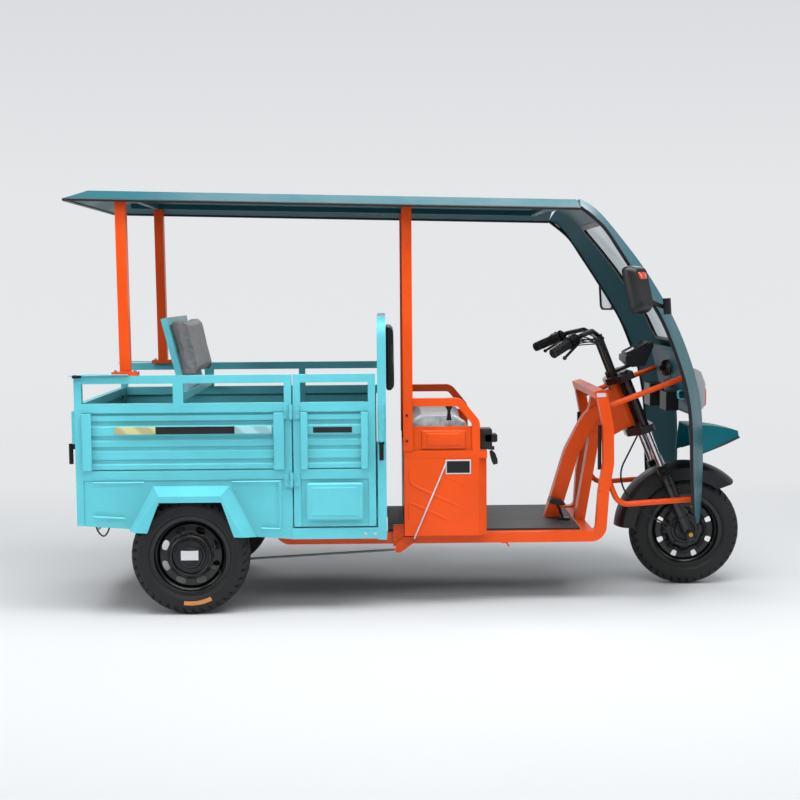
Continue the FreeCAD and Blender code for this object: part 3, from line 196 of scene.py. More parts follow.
def piece(name, shape, body, finish, slotName, smoothDeg=35, solid=0.0, keep=False):
    # a mesh object from points and quads: doubles merged, normals outward, sharp past smoothDeg
    points, quads = together(shape) if isinstance(shape, list) else shape
    mesh = bpy.data.meshes.new(name)
    mesh.vertices.add(len(points))
    mesh.vertices.foreach_set("co", np.asarray(points, float).ravel())
    mesh.loops.add(quads.size)
    mesh.loops.foreach_set("vertex_index", quads.ravel().astype(np.int32))
    mesh.polygons.add(len(quads))
    mesh.polygons.foreach_set("loop_start", np.arange(0, quads.size, 4, dtype=np.int32))
    mesh.update(calc_edges=True)
    work = bmesh.new()
    work.from_mesh(mesh)
    bmesh.ops.remove_doubles(work, verts=work.verts, dist=1e-6)
    bmesh.ops.dissolve_degenerate(work, edges=work.edges, dist=1e-7)
    if not keep:
        bmesh.ops.recalc_face_normals(work, faces=work.faces)
    work.to_mesh(mesh)
    work.free()
    made = bpy.data.objects.new(name, mesh)
    bpy.context.scene.collection.objects.link(made)
    mesh.shade_smooth()
    mesh.set_sharp_from_angle(angle=math.radians(smoothDeg))
    if solid:
        wall = made.modifiers.new("wall", "SOLIDIFY")
        wall.thickness = solid
    mesh.materials.append(finish)
    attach(made, body)
    return made


def linear(code):
    # an sRGB hex colour as linear light
    parts = [int(code[i:i + 2], 16) / 255 for i in (0, 2, 4)]
    return [c / 12.92 if c <= 0.04045 else ((c + 0.055) / 1.055) ** 2.4 for c in parts] + [1.0]


def add(tree, kind, inputs=None, **settings):
    # one node with its settings; an input given another node's socket is linked, any other is set
    made = tree.nodes.new("ShaderNode" + kind)
    for key, value in settings.items():
        setattr(made, key, value)
    for key, value in (inputs or {}).items():
        if isinstance(value, bpy.types.NodeSocket):
            tree.links.new(value, made.inputs[key])
        else:
            made.inputs[key].default_value = value
    return made


def newFinish(name):
    # an empty material, its tree and the place on the piece in the part's own frame
    finish = bpy.data.materials.new(name)
    finish.use_nodes = True
    tree = finish.node_tree
    tree.nodes.clear()
    return finish, tree, add(tree, "TexCoord").outputs["Object"]


def showSurface(finish, shader):
    add(finish.node_tree, "OutputMaterial", {"Surface": shader.outputs[0]})
    return finish


def ramp(tree, source, stops, interpolation="LINEAR"):
    # stops are (position, colour) pairs
    made = add(tree, "ValToRGB", {"Fac": source})
    made.color_ramp.interpolation = interpolation
    marks = made.color_ramp.elements
    while len(marks) < len(stops):
        marks.new(0.5)
    for mark, (spot, colour) in zip(marks, stops):
        mark.position, mark.color = spot, colour
    return made.outputs["Color"]


def shades(code, low, high):
    base = linear(code)
    return ([c * low for c in base[:3]] + [1.0], [min(c * high, 1.0) for c in base[:3]] + [1.0])


def coatedSteel(name, code, rough, coat, peelMm, peel, edge=0.0016, dirt=0.10, mirror=0.3):
    # painted sheet and tube: colour drifts a little, the coat has a fine orange peel, pressed
    # corners read as rounded, and dust dulls the gloss in broad patches
    finish, tree, where = newFinish(name)
    broad = add(tree, "TexNoise", {"Vector": where, "Scale": 3.5, "Detail": 5.0, "Roughness": 0.6})
    fine = add(tree, "TexNoise", {"Vector": where, "Scale": 1000 / peelMm, "Detail": 2.0})
    dark, light = shades(code, 1.0 - dirt, 1.0 + dirt * 0.7)
    colour = ramp(tree, broad.outputs["Fac"], [(0.30, dark), (0.70, light)])
    gloss = add(tree, "MapRange", {"Value": broad.outputs["Fac"], "From Min": 0.3, "From Max": 0.7,
                                   "To Min": rough * 0.8, "To Max": rough * 1.25})
    soft = add(tree, "Bevel", {"Radius": edge}, samples=4)
    bump = add(tree, "Bump", {"Height": fine.outputs["Fac"], "Distance": peel, "Strength": 0.5,
                              "Normal": soft.outputs["Normal"]})
    # light that bounces off the paint is greyed, as a wide studio floor shows little of its colour
    rays = add(tree, "LightPath")
    grey = shades(code, 0.25, 0.25)[0]
    mean = sum(grey[:3]) / 3
    calm = add(tree, "MixRGB", {"Fac": rays.outputs["Is Diffuse Ray"], "Color1": colour,
                                "Color2": (mean, mean, mean, 1.0)})
    shader = add(tree, "BsdfPrincipled", {"Base Color": calm.outputs[0], "IOR": 1.5,
                                          "Roughness": gloss.outputs["Result"],
                                          "Specular IOR Level": mirror,
                                          "Normal": bump.outputs["Normal"], "Coat Weight": coat,
                                          "Coat Roughness": 0.08})
    return showSurface(finish, shader)


# powder-coated frame tube, 60 micron gloss: warm orange with a soft sheen; the real peel is about
# 1 mm, drawn at 5 mm so that it shows
orangePowder = coatedSteel("orange_powder_coat", "FA5510", 0.34, 0.0, 5, 0.00025)
# powder-coated sheet, light turquoise, a little flatter than the frame
turquoisePowder = coatedSteel("turquoise_powder_coat", "69D2DF", 0.34, 0.0, 6, 0.0003, 0.0018)
# gel-coated glass fibre: deep teal under a hard clear surface
tealGelcoat = coatedSteel("teal_gelcoat", "045661", 0.34, 0.0, 18, 0.0001, 0.003, 0.10, 0.10)
# the roof's bars, brushed with dull paint
tealDull = coatedSteel("dull_teal_paint", "0A5460", 0.5, 0.0, 5, 0.0003)
# black enamel on wheels, axle and springs: satin, picks up pale road dust
blackEnamel = coatedSteel("black_satin_enamel", "0C0D0E", 0.33, 0.1, 4, 0.0002, 0.0012, 0.25, 0.5)


def mouldedPlastic(name, code, rough, grainMm, depth):
    # moulded polypropylene: a leathery grain of small raised cells, slightly worn smooth in patches
    finish, tree, where = newFinish(name)
    cells = add(tree, "TexVoronoi", {"Vector": where, "Scale": 1000 / grainMm}, feature="F1")
    broad = add(tree, "TexNoise", {"Vector": where, "Scale": 6.0, "Detail": 4.0})
    dark, light = shades(code, 0.8, 1.35)
    colour = ramp(tree, broad.outputs["Fac"], [(0.35, dark), (0.70, light)])
    gloss = add(tree, "MapRange", {"Value": broad.outputs["Fac"], "From Min": 0.3, "From Max": 0.7,
                                   "To Min": rough * 0.85, "To Max": rough * 1.2})
    soft = add(tree, "Bevel", {"Radius": 0.002}, samples=4)
    bump = add(tree, "Bump", {"Height": cells.outputs["Distance"], "Distance": depth, "Strength": 0.4,
                              "Normal": soft.outputs["Normal"]})
    shader = add(tree, "BsdfPrincipled", {"Base Color": colour, "Roughness": gloss.outputs["Result"],
                                          "Normal": bump.outputs["Normal"], "IOR": 1.49})
    return showSurface(finish, shader)


# grained polypropylene mudguard, switch housings and mirrors; real grain 0.8 mm, drawn at 2.5 mm
blackPolypropylene = mouldedPlastic("black_polypropylene", "0B0C0E", 0.4, 2.5, 0.0003)
# extruded rubber edging: duller and smoother
blackEdging = mouldedPlastic("black_rubber_edging", "0C0D0F", 0.38, 6, 0.0001)


def tyreRubber():
    # natural rubber: nearly black, matt, greyed by dust where the noise is high
    finish, tree, where = newFinish("tyre_rubber")
    broad = add(tree, "TexNoise", {"Vector": where, "Scale": 9.0, "Detail": 6.0, "Roughness": 0.65})
    fine = add(tree, "TexNoise", {"Vector": where, "Scale": 420.0, "Detail": 2.0})
    colour = ramp(tree, broad.outputs["Fac"], [(0.35, linear("070808")), (0.75, linear("121315"))])
    bump = add(tree, "Bump", {"Height": fine.outputs["Fac"], "Distance": 0.0004, "Strength": 0.5})
    shader = add(tree, "BsdfPrincipled", {"Base Color": colour, "Roughness": 0.62,
                                          "Normal": bump.outputs["Normal"], "IOR": 1.52})
    return showSurface(finish, shader)


def ribbedMat():
    # floor rubber with a 14 mm pitch of low round studs and trodden dust
    finish, tree, where = newFinish("studded_floor_rubber")
    studs = add(tree, "TexVoronoi", {"Vector": where, "Scale": 71.0, "Randomness": 0.0},
                voronoi_dimensions="2D", feature="F1")
    broad = add(tree, "TexNoise", {"Vector": where, "Scale": 4.0, "Detail": 6.0})
    colour = ramp(tree, broad.outputs["Fac"], [(0.3, linear("232427")), (0.75, linear("3E3F41"))])
    bump = add(tree, "Bump", {"Height": studs.outputs["Distance"], "Distance": 0.002,
                              "Strength": 0.8}, invert=True)
    shader = add(tree, "BsdfPrincipled", {"Base Color": colour, "Roughness": 0.6,
                                          "Normal": bump.outputs["Normal"]})
    return showSurface(finish, shader)


def vinylCover(name, code, rough, grainMm, sheen):
    # knitted-backed vinyl: fine creased grain (real 1 mm, drawn wider) over soft wrinkles
    finish, tree, where = newFinish(name)
    grain = add(tree, "TexVoronoi", {"Vector": where, "Scale": 1000 / grainMm},
                feature="DISTANCE_TO_EDGE")
    crease = add(tree, "TexNoise", {"Vector": where, "Scale": 16.0, "Detail": 5.0, "Distortion": 1.2})
    # the colour follows the same wrinkle noise as the bump below: painted shade in the hollows of the
    # wrinkles and painted highlight on their crowns
    dark, light = shades(code, 0.82, 1.15)
    colour = ramp(tree, crease.outputs["Fac"], [(0.3, dark), (0.7, light)])
    small = add(tree, "Bump", {"Height": grain.outputs["Distance"], "Distance": 0.0006,
                               "Strength": 0.5})
    bump = add(tree, "Bump", {"Height": crease.outputs["Fac"], "Distance": 0.006, "Strength": 0.35,
                              "Normal": small.outputs["Normal"]})
    shader = add(tree, "BsdfPrincipled", {"Base Color": colour, "Roughness": rough,
                                          "Normal": bump.outputs["Normal"], "Sheen Weight": sheen,
                                          "IOR": 1.5})
    return showSurface(finish, shader)


def metalFinish(name, code, rough, scratchMm, stretch):
    # plated or turned metal with fine lines drawn along its length
    finish, tree, where = newFinish(name)
    lines = add(tree, "Mapping", {"Vector": where, "Scale": (1.0, 1.0, stretch)})
    noise = add(tree, "TexNoise", {"Vector": lines.outputs["Vector"], "Scale": 1000 / scratchMm,
                                   "Detail": 3.0})
    gloss = add(tree, "MapRange", {"Value": noise.outputs["Fac"], "To Min": rough * 0.6,
                                   "To Max": rough * 1.5})
    dark, light = shades(code, 0.85, 1.05)
    colour = ramp(tree, noise.outputs["Fac"], [(0.3, dark), (0.7, light)])
    soft = add(tree, "Bevel", {"Radius": 0.001}, samples=4)
    shader = add(tree, "BsdfPrincipled", {"Base Color": colour, "Metallic": 1.0,
                                          "Roughness": gloss.outputs["Result"],
                                          "Normal": soft.outputs["Normal"]})
    return showSurface(finish, shader)


# vinyl seat covers: pads mid grey, and the driver's seat still under pale film
greyVinyl = vinylCover("grey_seat_vinyl", "8C8E91", 0.5, 5, 0.15)
blackVinyl = vinylCover("black_seat_vinyl", "17181A", 0.42, 5, 0.1)
wrappedVinyl = vinylCover("film_wrapped_vinyl", "C6C8CB", 0.24, 9, 0.0)
tyreFinish = tyreRubber()
matFinish = ribbedMat()
# zinc on the pull rod's end, pale on bolt heads, and yellow on the axle's nuts
zincPlate = metalFinish("zinc_plated_steel", "A9ACB0", 0.34, 2, 3.0)
paleZinc = coatedSteel("white_zinc_bolt_heads", "C3C8CA", 0.3, 0.2, 2, 0.0001, 0.0008, 0.1)
brassNut = metalFinish("yellow_zinc_nut", "C99A45", 0.3, 2, 1.0)


rake = math.radians(22.1)
steerTop = (1.8316, 0.905)


def forkFinish():
    # one forging and two tubes: chromed stanchions between the yoke and the black sliders below
    finish, tree, where = newFinish("fork_chrome_and_black")
    top = Vector((steerTop[0] + ahead, 0, steerTop[1]))
    down = Vector((math.sin(rake), 0, -math.cos(rake)))
    along = add(tree, "VectorMath", {0: where, 1: down}, operation="DOT_PRODUCT")
    reach = add(tree, "Math", {0: along.outputs["Value"], 1: top.dot(down)}, operation="SUBTRACT")
    isSlider = add(tree, "Math", {0: reach.outputs[0], 1: 0.455}, operation="GREATER_THAN")
    isYoke = add(tree, "Math", {0: reach.outputs[0], 1: 0.246}, operation="LESS_THAN")
    isBlack = add(tree, "Math", {0: isSlider.outputs[0], 1: isYoke.outputs[0]}, operation="MAXIMUM")
    noise = add(tree, "TexNoise", {"Vector": where, "Scale": 60.0, "Detail": 4.0})
    black = ramp(tree, noise.outputs["Fac"], [(0.3, linear("0D0E10")), (0.7, linear("1C1D20"))])
    chrome = ramp(tree, noise.outputs["Fac"], [(0.3, linear("B9BBBE")), (0.7, linear("D3D5D8"))])
    soft = add(tree, "Bevel", {"Radius": 0.0015}, samples=4)
    painted = add(tree, "BsdfPrincipled", {"Base Color": black, "Roughness": 0.3,
                                           "Coat Weight": 0.3, "Normal": soft.outputs["Normal"]})
    plated = add(tree, "BsdfPrincipled", {"Base Color": chrome, "Metallic": 1.0, "Roughness": 0.12,
                                          "Normal": soft.outputs["Normal"]})
    both = add(tree, "MixShader", {0: isBlack.outputs[0], 1: plated.outputs[0],
                                   2: painted.outputs[0]})
    return showSurface(finish, both)


def twoPaint(name, axis, level, below, above):
    # one node in two finishes, parted at a level along an axis of the part's own frame
    finish, tree, where = newFinish(name)
    apart = add(tree, "SeparateXYZ", {0: where})
    isAbove = add(tree, "Math", {0: apart.outputs[axis], 1: level}, operation="GREATER_THAN")
    noise = add(tree, "TexNoise", {"Vector": where, "Scale": 40.0, "Detail": 3.0})
    sides = [ramp(tree, noise.outputs["Fac"], [(0.3, shades(code, 0.8, 1.0)[0]), (0.7, linear(code))])
             for code in (below, above)]
    colour = add(tree, "MixRGB", {"Fac": isAbove.outputs[0], "Color1": sides[0], "Color2": sides[1]})
    soft = add(tree, "Bevel", {"Radius": 0.0015}, samples=4)
    shader = add(tree, "BsdfPrincipled", {"Base Color": colour.outputs[0], "Roughness": 0.4,
                                          "Specular IOR Level": 0.3, "Normal": soft.outputs["Normal"]})
    return showSurface(finish, shader)


def clearScreen():
    # 4 mm clear acrylic: mostly see-through, reflects more at a glancing angle
    finish, tree, where = newFinish("clear_acrylic_screen")
    haze = add(tree, "TexNoise", {"Vector": where, "Scale": 5.0, "Detail": 4.0})
    facing = add(tree, "LayerWeight", {"Blend": 0.5})
    glance = add(tree, "Math", {0: facing.outputs["Facing"], 1: 7.0}, operation="POWER")
    part = add(tree, "Math", {0: glance.outputs[0], 1: 0.35, 2: 0.02}, operation="MULTIPLY_ADD",
               use_clamp=True)
    gloss = add(tree, "MapRange", {"Value": haze.outputs["Fac"], "To Min": 0.03, "To Max": 0.08})
    colour = ramp(tree, haze.outputs["Fac"], [(0.3, linear("DFE4E6")), (0.7, linear("EDF1F2"))])
    through = add(tree, "BsdfTransparent", {"Color": colour})
    shine = add(tree, "BsdfGlossy", {"Roughness": gloss.outputs["Result"]})
    both = add(tree, "MixShader", {0: part.outputs[0], 1: through.outputs[0],
                                   2: shine.outputs[0]})
    return showSurface(finish, both)


def mouldedLens(name, code, rough, ribMm, glow):
    # moulded polycarbonate lens with upright optic ribs under a smooth face
    finish, tree, where = newFinish(name)
    ribs = add(tree, "TexWave", {"Vector": where, "Scale": 1000 / ribMm / tau, "Distortion": 0.0},
               wave_type="BANDS", bands_direction="Y")
    # the colour follows the rib wave that also drives the bump: painted shade in each rib's trough and
    # painted highlight on each crest
    dark, light = shades(code, 0.72, 1.2)
    colour = ramp(tree, ribs.outputs["Fac"], [(0.2, dark), (0.8, light)])
    bump = add(tree, "Bump", {"Height": ribs.outputs["Fac"], "Distance": 0.001, "Strength": 0.4})
    shader = add(tree, "BsdfPrincipled", {"Base Color": colour, "Roughness": rough,
                                          "Normal": bump.outputs["Normal"], "Coat Weight": 1.0,
                                          "Coat Roughness": 0.03, "IOR": 1.58,
                                          "Subsurface Weight": glow, "Subsurface Scale": 0.01})
    return showSurface(finish, shader)


screenFinish = clearScreen()
# reflector acrylic and lamp lenses
amberLens = mouldedLens("amber_reflector_acrylic", "D2401A", 0.2, 8, 0.1)
redLens = mouldedLens("red_lamp_polycarbonate", "B01512", 0.2, 8, 0.1)
greyLens = mouldedLens("smoked_lamp_polycarbonate", "A9AEB2", 0.15, 14, 0.05)
mirrorGlass = metalFinish("silvered_mirror_glass", "D5D9DC", 0.03, 40, 1.0)
labelFilm = coatedSteel("blank_label_film", "D9DBDD", 0.35, 0.5, 30, 0.0001, 0.0004, 0.05)
cableSheath = mouldedPlastic("white_cable_sheath", "D8DADB", 0.4, 4, 0.0001)


def reflexTape():
    # retro-reflective tape: cream at the tail, black in the middle, pale ahead, with slanted
    # 60 mm bands in the cream; bands follow x and z
    finish, tree, where = newFinish("striped_reflex_tape")
    apart = add(tree, "SeparateXYZ", {0: where})
    along = add(tree, "MapRange", {"Value": apart.outputs["X"], "From Min": ahead - 0.32,
                                   "From Max": ahead + 0.40})
    colour = ramp(tree, along.outputs["Result"],
                  [(0.0, linear("D8D49C")), (0.26, linear("17191B")), (0.71, linear("A9DDE6")),
                   (0.93, linear("1D2022"))], "CONSTANT")
    slant = add(tree, "Math", {0: apart.outputs["X"], 1: apart.outputs["Z"]}, operation="ADD")
    bands = add(tree, "Math", {0: slant.outputs[0], 1: 0.06}, operation="PINGPONG")
    shade = add(tree, "MapRange", {"Value": bands.outputs[0], "From Min": 0.02, "From Max": 0.04,
                                   "To Min": 0.72, "To Max": 1.05})
    mixed = add(tree, "MixRGB", {"Fac": 1.0, "Color1": colour, "Color2": shade.outputs["Result"]},
                blend_type="MULTIPLY")
    shader = add(tree, "BsdfPrincipled", {"Base Color": mixed.outputs[0], "Roughness": 0.28,
                                          "Coat Weight": 0.6})
    return showSurface(finish, shader)


tapeFinish = reflexTape()

finishOf = {
    "frame_orange": orangePowder, "bed_turquoise": turquoisePowder, "shield_teal": tealGelcoat,
    "roof_bars": tealDull, "cushion_grey": greyVinyl, "mat_rubber": matFinish,
    "tyre_rubber": tyreFinish, "wheel_black": blackEnamel, "screen_clear": screenFinish,
    "lamp_lens": greyLens, "tail_red": redLens, "black_plastic": blackPolypropylene,
    "bar_black": blackEnamel, "fork_steel": forkFinish(), "zinc_steel": zincPlate,
    "latch_turquoise": twoPaint("latch_paint_and_rubber_dip", "Z", 0.712, "141517", "66CEDB"),
    "cable_white": cableSheath, "plate_white": labelFilm,
}
slotOfNode = {sub["node"]: sub["material_slot"] for sub in frame["record"]["subparts"]}
for name, part in nodes.items():
    part.data.materials.clear()
    part.data.materials.append(finishOf[slotOfNode[name]])
pullRod = nodes["parking_brake"].data.materials
pullRod[0] = twoPaint("grey_pull_rod_orange_bracket", "X", 0.840 - 0.9525, "6E7174", "F4540F")
print("finishes on", len(nodes), "frame nodes")


stage = {"floorHalf": 14.0, "wallY": 7.0, "cove": 3.0, "wallTop": 11.0}


def studioSweep():
    # floor, quarter-circle cove and wall as one profile carried along x
    a = np.linspace(0, math.pi / 2, 24)
    y = np.concatenate([[-12.0, 0.0], stage["wallY"] - stage["cove"] + stage["cove"] * np.sin(a),
                        [stage["wallY"]]])
    z = np.concatenate([[0.0, 0.0], stage["cove"] * (1 - np.cos(a)), [stage["wallTop"]]]) - 0.0006
    x = np.linspace(-stage["floorHalf"], stage["floorHalf"], 3)
    grid = np.stack([np.repeat(x[:, None], len(y), 1), np.repeat(y[None], 3, 0),
                     np.repeat(z[None], 3, 0)], -1)
    mesh = bpy.data.meshes.new("studio_paper")
    mesh.from_pydata(grid.reshape(-1, 3).tolist(), [], gridFaces(3, len(y), False, False).tolist())
    mesh.shade_smooth()
    made = bpy.data.objects.new("studio_paper", mesh)
    bpy.context.scene.collection.objects.link(made)
    finish, tree, where = newFinish("pale_studio_paper")
    apart = add(tree, "SeparateXYZ", {0: where})
    # the paper's colour, which the camera sees as emission, darkens towards the top of the wall: painted
    # shade where less light reaches
    climb = add(tree, "MapRange", {"Value": apart.outputs["Z"], "From Max": 5.0})
    colour = ramp(tree, climb.outputs["Result"], [(0.0, linear("E4E6E8")), (0.12, linear("E6E8EA")),
                                                  (0.45, linear("E5E7E9")), (1.0, linear("D6D8DC"))])
    dimmer = add(tree, "MixRGB", {"Fac": 1.0, "Color1": colour, "Color2": linear("EEEEEE")},
                 blend_type="MULTIPLY")
    paper = add(tree, "BsdfDiffuse", {"Color": dimmer.outputs[0], "Roughness": 0.0})
    glow = add(tree, "Emission", {"Color": colour, "Strength": 1.0})
    rays = add(tree, "LightPath")
    seen = add(tree, "Math", {0: rays.outputs["Is Camera Ray"], 1: rays.outputs["Is Glossy Ray"]},
               operation="MAXIMUM")
    seen = add(tree, "Math", {0: seen.outputs[0], 1: rays.outputs["Is Transmission Ray"]},
               operation="MAXIMUM")
    far = add(tree, "MapRange", {"Value": apart.outputs["Y"], "From Min": 0.2, "From Max": 3.4,
                                 "To Max": 1.0}, interpolation_type="SMOOTHSTEP")
    share = add(tree, "Math", {0: seen.outputs[0], 1: far.outputs["Result"]}, operation="MULTIPLY")
    both = add(tree, "MixShader", {0: share.outputs[0], 1: paper.outputs[0], 2: glow.outputs[0]})
    mesh.materials.append(showSurface(finish, both))


studioSweep()

camera = bpy.data.objects.new("camera", bpy.data.cameras.new("camera"))
bpy.context.scene.collection.objects.link(camera)
bpy.context.scene.camera = camera
camera.data.lens = 59.29
camera.data.sensor_width = 36.0
camera.data.clip_end = 60.0
eye = {"x": 0.8072, "y": -5.8833, "z": 1.3303, "down": 0.0831, "turn": -0.0116, "roll": -0.0075}
c, s = math.cos(eye["down"]), math.sin(eye["down"])
forward = Vector((-math.sin(eye["turn"]) * c, math.cos(eye["turn"]) * c, -s))
right = Vector((math.cos(eye["turn"]), math.sin(eye["turn"]), 0))
up = right.cross(forward)
across = right * math.cos(eye["roll"]) + up * math.sin(eye["roll"])
upward = -right * math.sin(eye["roll"]) + up * math.cos(eye["roll"])
camera.matrix_world = Matrix((
    (across.x, upward.x, -forward.x, eye["x"] + ahead), (across.y, upward.y, -forward.y, eye["y"]),
    (across.z, upward.z, -forward.z, eye["z"]), (0, 0, 0, 1)))

lamps = [  # place, aim, size, watts: two long soft boxes overhead, lower ones at the sides
    ("top_box", (0.0, -1.1, 4.3), (0.1, 0.1, 0.6), (5.6, 2.4), 250),
    ("high_front_box", (0.2, -4.6, 4.3), (0.1, 0.0, 0.7), (5.0, 1.6), 62),
    ("left_box", (-4.8, -2.4, 2.6), (0.0, 0.0, 0.8), (1.6, 2.4), 55),
    ("right_box", (4.8, -1.6, 2.6), (0.5, 0.0, 0.8), (1.4, 2.4), 30),
    ("rear_box", (0.5, 3.6, 3.6), (0.1, 0.2, 0.8), (4.4, 1.4), 60),
]
for name, spot, aim, size, watts in lamps:
    lamp = bpy.data.lights.new(name, "AREA")
    lamp.shape, lamp.size, lamp.size_y, lamp.energy = "RECTANGLE", size[0], size[1], watts
    holder = bpy.data.objects.new(name, lamp)
    bpy.context.scene.collection.objects.link(holder)
    holder.location = spot
    holder.rotation_euler = (Vector(aim) - Vector(spot)).to_track_quat("-Z", "Y").to_euler()

world = bpy.data.worlds.new("studio")
bpy.context.scene.world = world
world.use_nodes = True
world.node_tree.nodes.clear()
sky = add(world.node_tree, "Background", {"Color": linear("E4E8EC"), "Strength": 0.36})
add(world.node_tree, "OutputWorld", {"Surface": sky.outputs[0]})
bpy.context.scene.view_settings.view_transform = "Standard"
print("stage, camera and lamps placed")


tyre = {"pitches": 40, "stepsPerPitch": 10, "groove": 0.008, "sideRing": 0.0016}


def tyreShape(centre):
    # a closed (radius, y) section turned about the axle; tread blocks are cut by lowering the radius
    # where two zigzag grooves and the slanted shoulder cuts run
    half = [(0.158, 0.034), (0.1665, 0.0375), (0.172, 0.043), (0.186, 0.0472), (0.205, 0.0478),
            (0.222, 0.0445), (0.2335, 0.038), (0.240, 0.030), (0.2435, 0.020), (0.2448, 0.010)]
    outer = half + [(0.2450, 0.0)] + [(r, -y) for r, y in half[::-1]]
    section = smoothLine(outer, 97)
    section[:, 0] *= tyreRadius / 0.245
    bead = np.array([(0.157, -0.02), (0.157, 0.0), (0.157, 0.02)])
    steps = tyre["pitches"] * tyre["stepsPerPitch"]
    a = np.arange(steps) * tau / steps
    phase = (a * tyre["pitches"] / tau)[:, None]
    y, r = section[None, :, 1], section[None, :, 0]
    wave = np.abs((phase % 1.0) - 0.5) * 4 - 1
    zigzag = np.abs(np.abs(y) - 0.0125 - 0.0028 * wave)
    ring = np.clip((0.0042 - zigzag) / 0.0018, 0, 1)
    slant = (phase + np.sign(y) * 0.25 + (np.abs(y) - 0.018) * 22) % 1.0
    cut = np.clip((0.17 - np.abs(slant - 0.5)) / 0.05, 0, 1)
    cut = cut * np.clip((np.abs(y) - 0.0185) / 0.003, 0, 1) * np.clip((r - 0.2185) / 0.006, 0, 1)
    middle = (phase + 0.5 + y * 30) % 1.0
    sipe = np.clip((0.06 - np.abs(middle - 0.5)) / 0.04, 0, 1) * (np.abs(y) < 0.0085)
    lower = np.maximum(np.maximum(ring, cut), sipe * 0.5) * tyre["groove"]
    low = r - lower * np.clip((r - 0.216) / 0.008, 0, 1)
    for level in (0.1815, 0.2085):
        low = low + tyre["sideRing"] * np.clip(1 - np.abs(r - level) / 0.0022, 0, 1) * 0.4
    wide = y + np.sign(y) * tyre["sideRing"] * sum(
        np.clip(1 - np.abs(r - level) / 0.0022, 0, 1) for level in (0.1815, 0.2085, 0.2135))
    wide = wide - np.sign(y) * cut * 0.004 * (np.abs(y) > 0.036)
    low = np.concatenate([low, np.broadcast_to(bead[None, :, 0], (steps, 3))], 1)
    wide = np.concatenate([np.broadcast_to(wide, (steps, 97)),
                           np.broadcast_to(bead[None, :, 1], (steps, 3))], 1)
    grid = np.stack([np.cos(a)[:, None] * low, wide, np.sin(a)[:, None] * low], -1)
    return gridShape(grid + centre, True, True)


axles = {
    "front": (place(frontX, 0.0, tyreRadius), "front_wheel", -1),
    "rear_right": (place(0.0, -trackHalf, tyreRadius), "rear_wheel_right", -1),
    "rear_left": (place(0.0, trackHalf, tyreRadius), "rear_wheel_left", 1),
}
nodeOf = {"front": ("front_tyre", "front_rim"), "rear_right": ("rear_tyre_right", "rear_rim_right"),
          "rear_left": ("rear_tyre_left", "rear_rim_left")}
for name, (centre, body, side) in axles.items():
    made = piece(name + "_tyre_tread", tyreShape(centre), body, tyreFinish, "tyre_rubber", 28)
    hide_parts(nodeOf[name][0])
print("tyres")


wheel = {"half": 0.039, "holes": 8}


def holedDisc(centre, side, dish, holeRadius, halfWide, halfTall, power, inner, outer):
    # each of eight sectors is a ring of quads between a super-ellipse hole and the sector's own
    # border; the disc's depth follows the dish curve of radius, and a lip turns in at the hole
    around = np.arange(64) * tau / 64
    cs, sn = np.cos(around), np.sin(around)
    big = np.maximum(np.abs(cs), np.abs(sn))
    holeU = halfWide * np.sign(cs) * np.abs(cs) ** (2 / power)
    holeV = halfTall * np.sign(sn) * np.abs(sn) ** (2 / power)
    edgeAngle = cs / big * math.pi / wheel["holes"]
    edgeRadius = holeRadius + np.where(sn > 0, outer - holeRadius, holeRadius - inner) * sn / big
    t = np.array([0, 0, 0.06, 0.2, 0.4, 0.6, 0.8, 1.0])[None, :]
    angle = (holeU / holeRadius)[:, None] * (1 - t) + edgeAngle[:, None] * t
    radius = (holeRadius + holeV)[:, None] * (1 - t) + edgeRadius[:, None] * t
    dish = np.asarray(dish)
    depth = np.interp(radius, dish[::-1, 0], dish[::-1, 1])
    depth[:, 0] -= 0.007
    shapes = []
    for k in range(wheel["holes"]):
        turn = angle + (k + 0.5) * tau / wheel["holes"]
        grid = np.stack([np.cos(turn) * radius, side * depth, np.sin(turn) * radius], -1) + centre
        shapes.append(gridShape(grid, True, False))
    return together(shapes)


def wheelBarrel(centre):
    # the rolled flanges, bead seats and drop centre as one closed section
    h = wheel["half"]
    section = [(0.1665, h + 0.0015), (0.1685, h - 0.0005), (0.167, h - 0.004), (0.159, h - 0.005),
               (0.152, 0.022), (0.141, 0.012), (0.141, -0.012), (0.152, -0.022),
               (0.159, -h + 0.005), (0.167, -h + 0.004), (0.1685, -h + 0.0005), (0.1665, -h - 0.0015),
               (0.158, -h), (0.149, -h + 0.001), (0.147, -0.021), (0.1375, -0.014),
               (0.1375, 0.014), (0.147, 0.021), (0.149, h - 0.001), (0.158, h)]
    return revolve(roundCorners(section, 0.003, 4, True), centre, 120, True)


def plainTurning(centre, side, profile, steps=72, corner=0.002):
    # a turned cap whose (radius, depth) profile starts on the axis and runs outward
    line = roundCorners([(r, side * y) for r, y in profile], corner, 4)
    return revolve(line, centre, steps)


